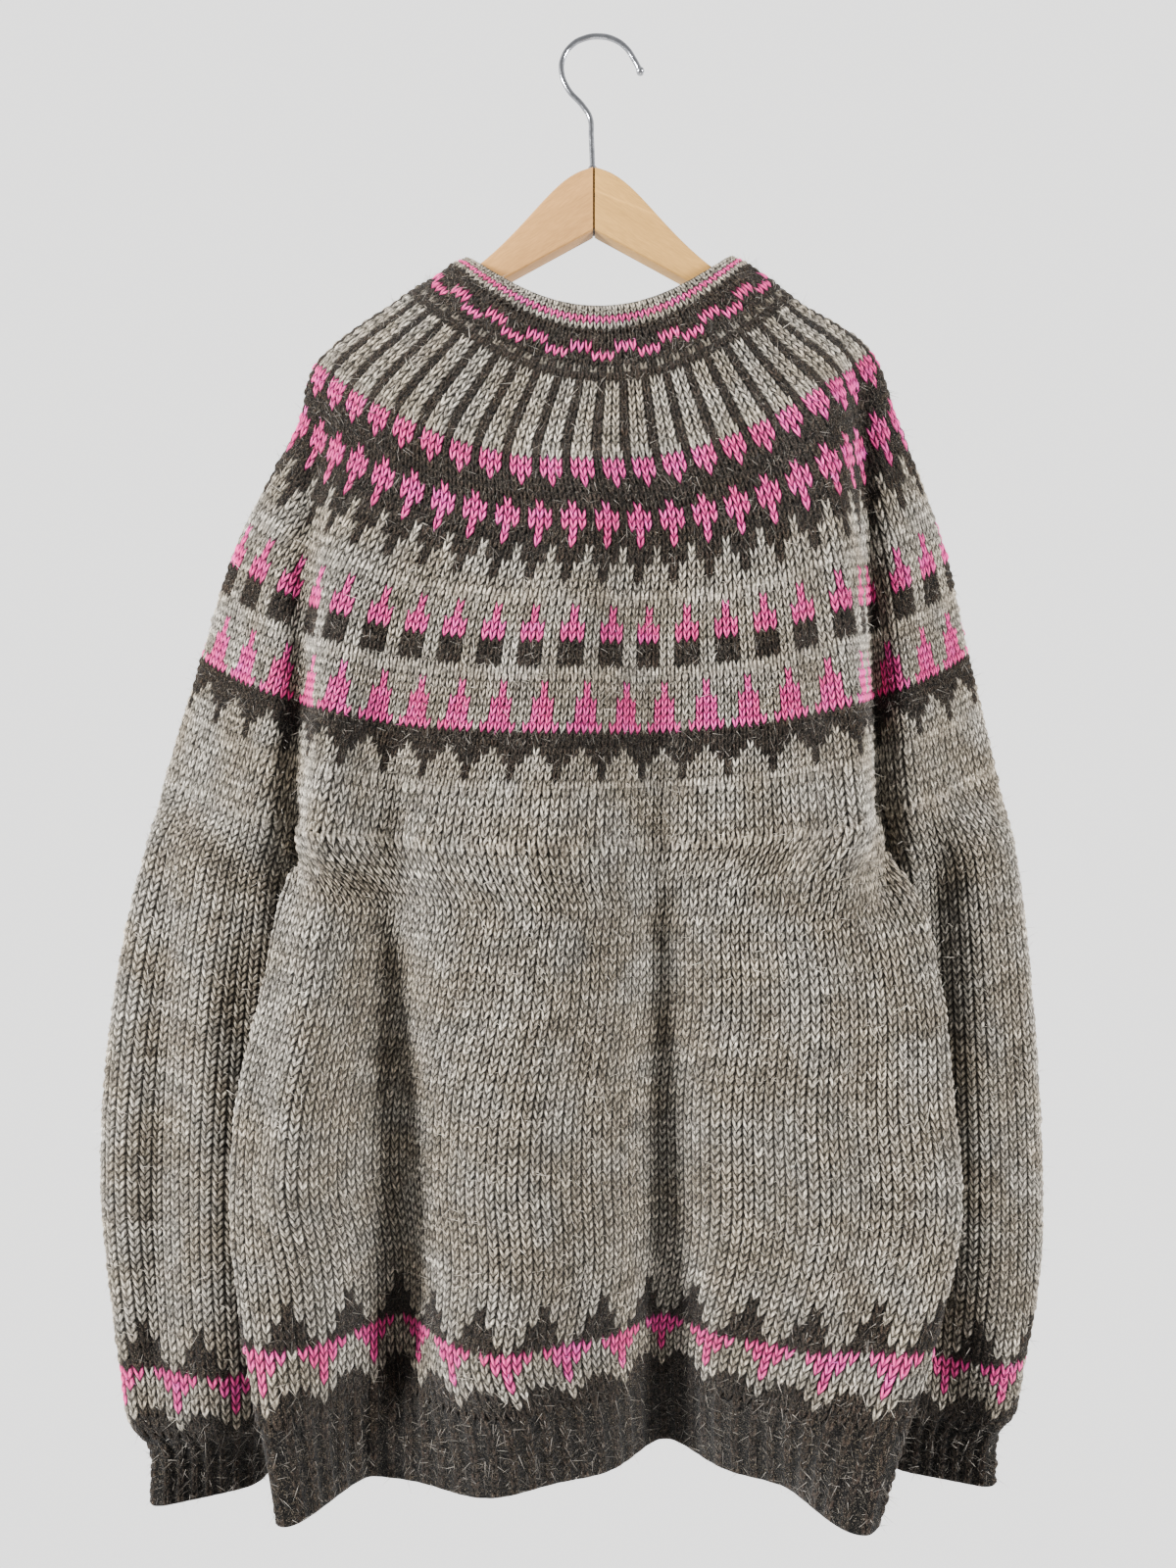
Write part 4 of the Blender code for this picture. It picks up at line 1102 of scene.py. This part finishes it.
# The colour of the dark sliver in the joint, which is painted shade.
JOINT_SHADE_TONE = (0.028, 0.016, 0.010)


def beside(tree, slope, **settings):
    """Coordinates in metres, turned by a slope in degrees, with the grain's own place and size."""
    turn = (0, math.radians(slope), 0)
    node = add_node(tree, "ShaderNodeMapping", vector_type="TEXTURE", Rotation=turn, **settings)
    tree.links.new(add_node(tree, "ShaderNodeTexCoord").outputs["Object"], node.inputs["Vector"])
    return node.outputs["Vector"]


def beech(name, tone, side):
    """Pale lacquered beech: fine flecks along the grain,
    broad soft bands, and on the right arm one paler line."""
    made, tree, shader = new_finish(
        name, Roughness=0.5, Specular_IOR_Level=0.25, Coat_Weight=0.08, Coat_Roughness=0.25
    )
    slope = side * GRAIN_SLOPE
    bands = noise(tree, beside(tree, slope, Scale=GRAIN_BANDS), Scale=1.0, Detail=3.0, Roughness=0.5)
    flecks = noise(tree, beside(tree, slope, Scale=GRAIN_FLECKS), Scale=1.0, Detail=2.0, Roughness=0.6)
    shade = times(tree, ramp(tree, bands, 0.3, 0.7, 0.84, 1.12), ramp(tree, flecks, 0.3, 0.7, 0.86, 1.10))
    if name == "beech_right":
        apart = add_node(tree, "ShaderNodeSeparateXYZ")
        tree.links.new(beside(tree, LINE_SLOPE, Location=LINE_PLACE), apart.inputs["Vector"])
        distance = add_node(tree, "ShaderNodeMath", operation="ABSOLUTE")
        tree.links.new(apart.outputs["Z"], distance.inputs[0])
        shade = times(tree, shade, ramp(tree, distance.outputs[0], *LINE_EDGES, LINE_SHADE, 1.0))
    tinted = add_node(tree, "ShaderNodeVectorMath", operation="SCALE")
    tinted.inputs[0].default_value = tone
    tree.links.new(shade, tinted.inputs["Scale"])
    tree.links.new(tinted.outputs[0], shader.inputs["Base Color"])
    roughen(tree, shader, flecks, Strength=0.12, Distance=0.0003)
    return made


sections = np.array(ARM_SECTIONS)
outs = np.concatenate([[JOINT_OPEN], np.linspace(4, 150, ARM_STEPS), [155, 160, 163, 165]])
curve = {}
for index, column in enumerate(ARM_COLUMNS[1:], start=1):
    curve[column] = np.interp(outs, sections[:, 0], sections[:, index])
for column in ("top_z", "low_z"):
    for _ in range(ARM_SMOOTHING):
        inner = curve[column][1:-1]
        curve[column][1:-1] = inner + 0.25 * (curve[column][:-2] - 2 * inner + curve[column][2:])
middles = (curve["top_z"] + curve["low_z"]) / 2
heights = curve["top_z"] - curve["low_z"]
depths = curve["depth"]
for side, sign in (("left", -1), ("right", 1)):
    bpy.ops.object.select_all(action="DESELECT")
    bpy.ops.mesh.primitive_plane_add(
        size=1.0, location=(sign * outs[0] * MM, 0, middles[0] * MM), rotation=(0, sign * math.pi / 2, 0)
    )
    arm = bpy.context.object
    arm.name = f"beech_arm_{side}"
    arm.scale = (heights[0] * MM, depths[0] * MM, 1)
    bpy.ops.object.transform_apply(location=True, rotation=True, scale=True)
    bpy.ops.object.mode_set(mode="EDIT")
    bpy.ops.mesh.select_all(action="SELECT")
    for step in range(1, len(outs)):
        last = step - 1
        move = (sign * (outs[step] - outs[last]) * MM, 0, (middles[step] - middles[last]) * MM)
        bpy.ops.mesh.extrude_region_move(TRANSFORM_OT_translate={"value": move})
        bpy.ops.transform.resize(
            value=(1, depths[step] / depths[last], heights[step] / heights[last]),
            center_override=(sign * outs[step] * MM, 0, middles[step] * MM),
        )
    bpy.ops.mesh.select_all(action="SELECT")
    bpy.ops.mesh.normals_make_consistent(inside=False)
    bpy.ops.object.mode_set(mode="OBJECT")
    # The long edges are rounded, the upper ones more; the sawn ends at the joint stay sharp.
    softness = arm.data.attributes.new("bevel_weight_edge", "FLOAT", "EDGE")
    for edge in arm.data.edges:
        one, two = (arm.data.vertices[index].co for index in edge.vertices)
        middle = np.interp(abs(one.x) / MM, outs, middles) * MM
        if abs(one.x - two.x) > LONG_EDGE * MM:
            softness.data[edge.index].value = 1.0 if one.z > middle else LOWER_ROUNDING
    round_edges(arm, ARM_ROUNDING, segments=4, limit_method="WEIGHT")
    arm.data.materials.append(beech(f"beech_{side}", BEECH_TONES[side], sign))
    bpy.ops.object.shade_smooth_by_angle(angle=math.radians(40))
    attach(arm, "root")
    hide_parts(f"hanger_arm_{side}")

# The dark sliver of painted shade in the joint is set back from the arms' faces.
bpy.ops.object.select_all(action="DESELECT")
bpy.ops.mesh.primitive_cube_add(size=1.0, location=(0, 0, SLIVER_LEVEL * MM))
joint_shade = bpy.context.object
joint_shade.name = "joint_painted_shade"
joint_shade.scale = [size * MM for size in SLIVER_SIZE]
bpy.ops.object.transform_apply(location=True, rotation=True, scale=True)
round_edges(joint_shade, SLIVER_ROUNDING, segments=3)
joint_shade.data.materials.append(beech("painted_joint_shade", JOINT_SHADE_TONE, -1))
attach(joint_shade, "root")


# Hook
# Chromed steel wire, bent round into a hook, with a small
# ball at its tip and a collar where it screws into the wood.
WIRE_RADIUS = 1.7
BALL_RADIUS = 2.5
COLLAR_PLACE = (-0.8, -82.6)
COLLAR_RADIUS = 2.7
COLLAR_HEIGHT = 3.4
COLLAR_ROUNDING = 0.7
HOOK_ROUTE = (
    (-0.7, -104), (-0.8, -84), (-1.6, -62), (-2.4, -50), (-6.8, -42.5), (-16.4, -31.5), (-20.4, -20.5),
    (-19.4, -12.0), (-13.8, -3.8), (-6.0, 0.4), (3.0, 1.7), (12.5, -0.2), (20.4, -5.6), (25.6, -13.2),
    (29.4, -20.4),
)
chrome, chrome_tree, chrome_shader = new_finish(
    "chromed_steel", Metallic=1.0, Specular_Tint=(0.12, 0.12, 0.13, 1)
)
chrome_space = add_node(chrome_tree, "ShaderNodeTexCoord").outputs["Object"]
chrome_wear = noise(chrome_tree, chrome_space, Scale=260.0, Detail=3.0)
chrome_gloss = ramp(chrome_tree, chrome_wear, 0.3, 0.7, 0.10, 0.24)
chrome_tones = colour_ramp(chrome_tree, chrome_wear, (0.0, (0.28, 0.29, 0.31)), (1.0, (0.44, 0.45, 0.48)))
chrome_tree.links.new(chrome_gloss, chrome_shader.inputs["Roughness"])
chrome_tree.links.new(chrome_tones, chrome_shader.inputs["Base Color"])

bpy.ops.object.select_all(action="DESELECT")
bpy.ops.curve.primitive_bezier_curve_add()
hook = bpy.context.object
hook.name = "hook_wire"
hook.data.splines.clear()
wire = hook.data.splines.new("BEZIER")
wire.bezier_points.add(len(HOOK_ROUTE) - 1)
for point, (x, z) in zip(wire.bezier_points, HOOK_ROUTE):
    point.co = (x * MM, 0, z * MM)
    point.handle_left_type = point.handle_right_type = "AUTO"
hook.data.dimensions = "3D"
hook.data.resolution_u = 10
hook.data.bevel_depth = WIRE_RADIUS * MM
hook.data.bevel_resolution = 5
hook.data.use_fill_caps = True
bpy.ops.object.convert(target="MESH")
tip_x, tip_z = HOOK_ROUTE[-1]
bpy.ops.mesh.primitive_uv_sphere_add(
    segments=28, ring_count=16, radius=BALL_RADIUS * MM, location=(tip_x * MM, 0, tip_z * MM)
)
ball = bpy.context.object
collar_x, collar_z = COLLAR_PLACE
bpy.ops.mesh.primitive_cylinder_add(
    vertices=32, radius=COLLAR_RADIUS * MM, depth=COLLAR_HEIGHT * MM,
    location=(collar_x * MM, 0, collar_z * MM),
)
collar = bpy.context.object
round_edges(collar, COLLAR_ROUNDING, segments=3)
bpy.ops.object.select_all(action="DESELECT")
for part in (ball, collar, hook):
    part.select_set(True)
bpy.context.view_layer.objects.active = hook
bpy.ops.object.join()
hook.data.materials.clear()
hook.data.materials.append(chrome)
hook.data.shade_smooth()
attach(hook, "root")
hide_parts("hanger_hook")


# Fuzz
# Loose fibres that stand off the yarn all over, and make
# the wool look soft at its edges. Each is a thin spike.
FUZZ_COUNT = 26000
FUZZ_RADIUS = 0.14 * MM
FUZZ_LENGTHS = (3.0, 10.0)
# How far the fibres stand up, as a share of how far they lie along
FUZZ_STAND = (0.25, 1.1)
# Yarn with less red than this is dark, and its fibres stand this much thicker. Yarn with this much more
# red than green is pink, and its fibres are shorter by this share.
DARK_YARN = 0.08
FUZZ_ON_DARK = 2.6
PINK_YARN = 0.3
FUZZ_ON_PINK = 0.4
# A fibre's tone is its yarn's times the first, and a cream
# of this much at least and this much more at most.
FUZZ_TONES = (0.8, 1.5)
FUZZ_CREAM = (1.0, 0.92, 0.80)
CREAM_LEAST = 0.03
CREAM_MORE = 0.32
FUZZ_BRIGHTEST = 0.9
fuzz_dice = np.random.default_rng(77)
roots = np.concatenate([found[0] for found in fuzz_roots])
facings = np.concatenate([found[1] for found in fuzz_roots])
tones = np.concatenate([found[2] for found in fuzz_roots])
odds = np.where(tones[:, 0] < DARK_YARN, FUZZ_ON_DARK, 1.0)
pick = fuzz_dice.choice(len(roots), FUZZ_COUNT, replace=False, p=odds / odds.sum())
root, facing, tone = roots[pick], facings[pick], tones[pick]
length = fuzz_dice.uniform(*FUZZ_LENGTHS, FUZZ_COUNT)[:, None] * MM
length = np.where(tone[:, :1] > tone[:, 1:2] + PINK_YARN, FUZZ_ON_PINK, 1.0) * length


def unit(vectors):
    return vectors / np.linalg.norm(vectors, axis=1)[:, None]


sideways = unit(np.cross(facing, fuzz_dice.normal(size=(FUZZ_COUNT, 3))))
way = unit(sideways + facing * fuzz_dice.uniform(*FUZZ_STAND, FUZZ_COUNT)[:, None])
across = unit(np.cross(way, facing + 0.01))
other = np.cross(way, across)
corners = [
    root + (across * math.cos(angle) + other * math.sin(angle)) * FUZZ_RADIUS
    for angle in (0.0, 2 * math.pi / 3, 4 * math.pi / 3)
]
fuzz_points = np.stack([*corners, root + way * length], axis=1).reshape(-1, 3)
# A spike's faces, and their places in its own cell of the map for baking
SPIKE = ((2, 1, 0), (0, 1, 3), (1, 2, 3), (2, 0, 3))
SPIKE_MAP = (
    ((0.94, 0.10), (0.97, 0.10), (0.97, 0.16)),
    ((0.03, 0.05), (0.29, 0.05), (0.16, 0.95)),
    ((0.33, 0.05), (0.59, 0.05), (0.46, 0.95)),
    ((0.63, 0.05), (0.89, 0.05), (0.76, 0.95)),
)
fuzz_faces = (np.arange(FUZZ_COUNT)[:, None, None] * 4 + np.array(SPIKE)[None]).reshape(-1, 3)
fuzz_mesh = bpy.data.meshes.new("wool_fuzz")
fuzz_mesh.from_pydata(fuzz_points.tolist(), [], fuzz_faces.tolist())
cells = math.ceil(math.sqrt(FUZZ_COUNT))
cell = np.stack([np.arange(FUZZ_COUNT) % cells, np.arange(FUZZ_COUNT) // cells], axis=1)
fuzz_uv = (cell[:, None, :] + np.array(SPIKE_MAP).reshape(1, -1, 2)) / cells
fuzz_map = fuzz_mesh.uv_layers.new(name="OFBake")
fuzz_map.uv.foreach_set("vector", fuzz_uv.astype(np.float32).ravel())
fuzz_yarn = fuzz_mesh.color_attributes.new("yarn", "BYTE_COLOR", "CORNER")
pale = fuzz_dice.uniform(*FUZZ_TONES, FUZZ_COUNT)[:, None] * tone[:, :3]
cream = CREAM_LEAST + CREAM_MORE * fuzz_dice.uniform(size=FUZZ_COUNT)[:, None] ** 2
pale = np.clip(pale + cream * np.array(FUZZ_CREAM), 0, FUZZ_BRIGHTEST)
fuzz_tint = np.repeat(np.column_stack([pale, np.ones(FUZZ_COUNT)]), len(SPIKE) * 3, axis=0)
fuzz_yarn.data.foreach_set("color", fuzz_tint.astype(np.float32).ravel())
fibres, fibre_tree, fibre_shader = new_finish("loose_fibres", Roughness=0.7)
fibre_colour = add_node(fibre_tree, "ShaderNodeVertexColor", layer_name="yarn")
fibre_tree.links.new(fibre_colour.outputs["Color"], fibre_shader.inputs["Base Color"])
fuzz_mesh.materials.append(fibres)
fuzz = bpy.data.objects.new("wool_fuzz", fuzz_mesh)
bpy.context.scene.collection.objects.link(fuzz)
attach(fuzz, "root")
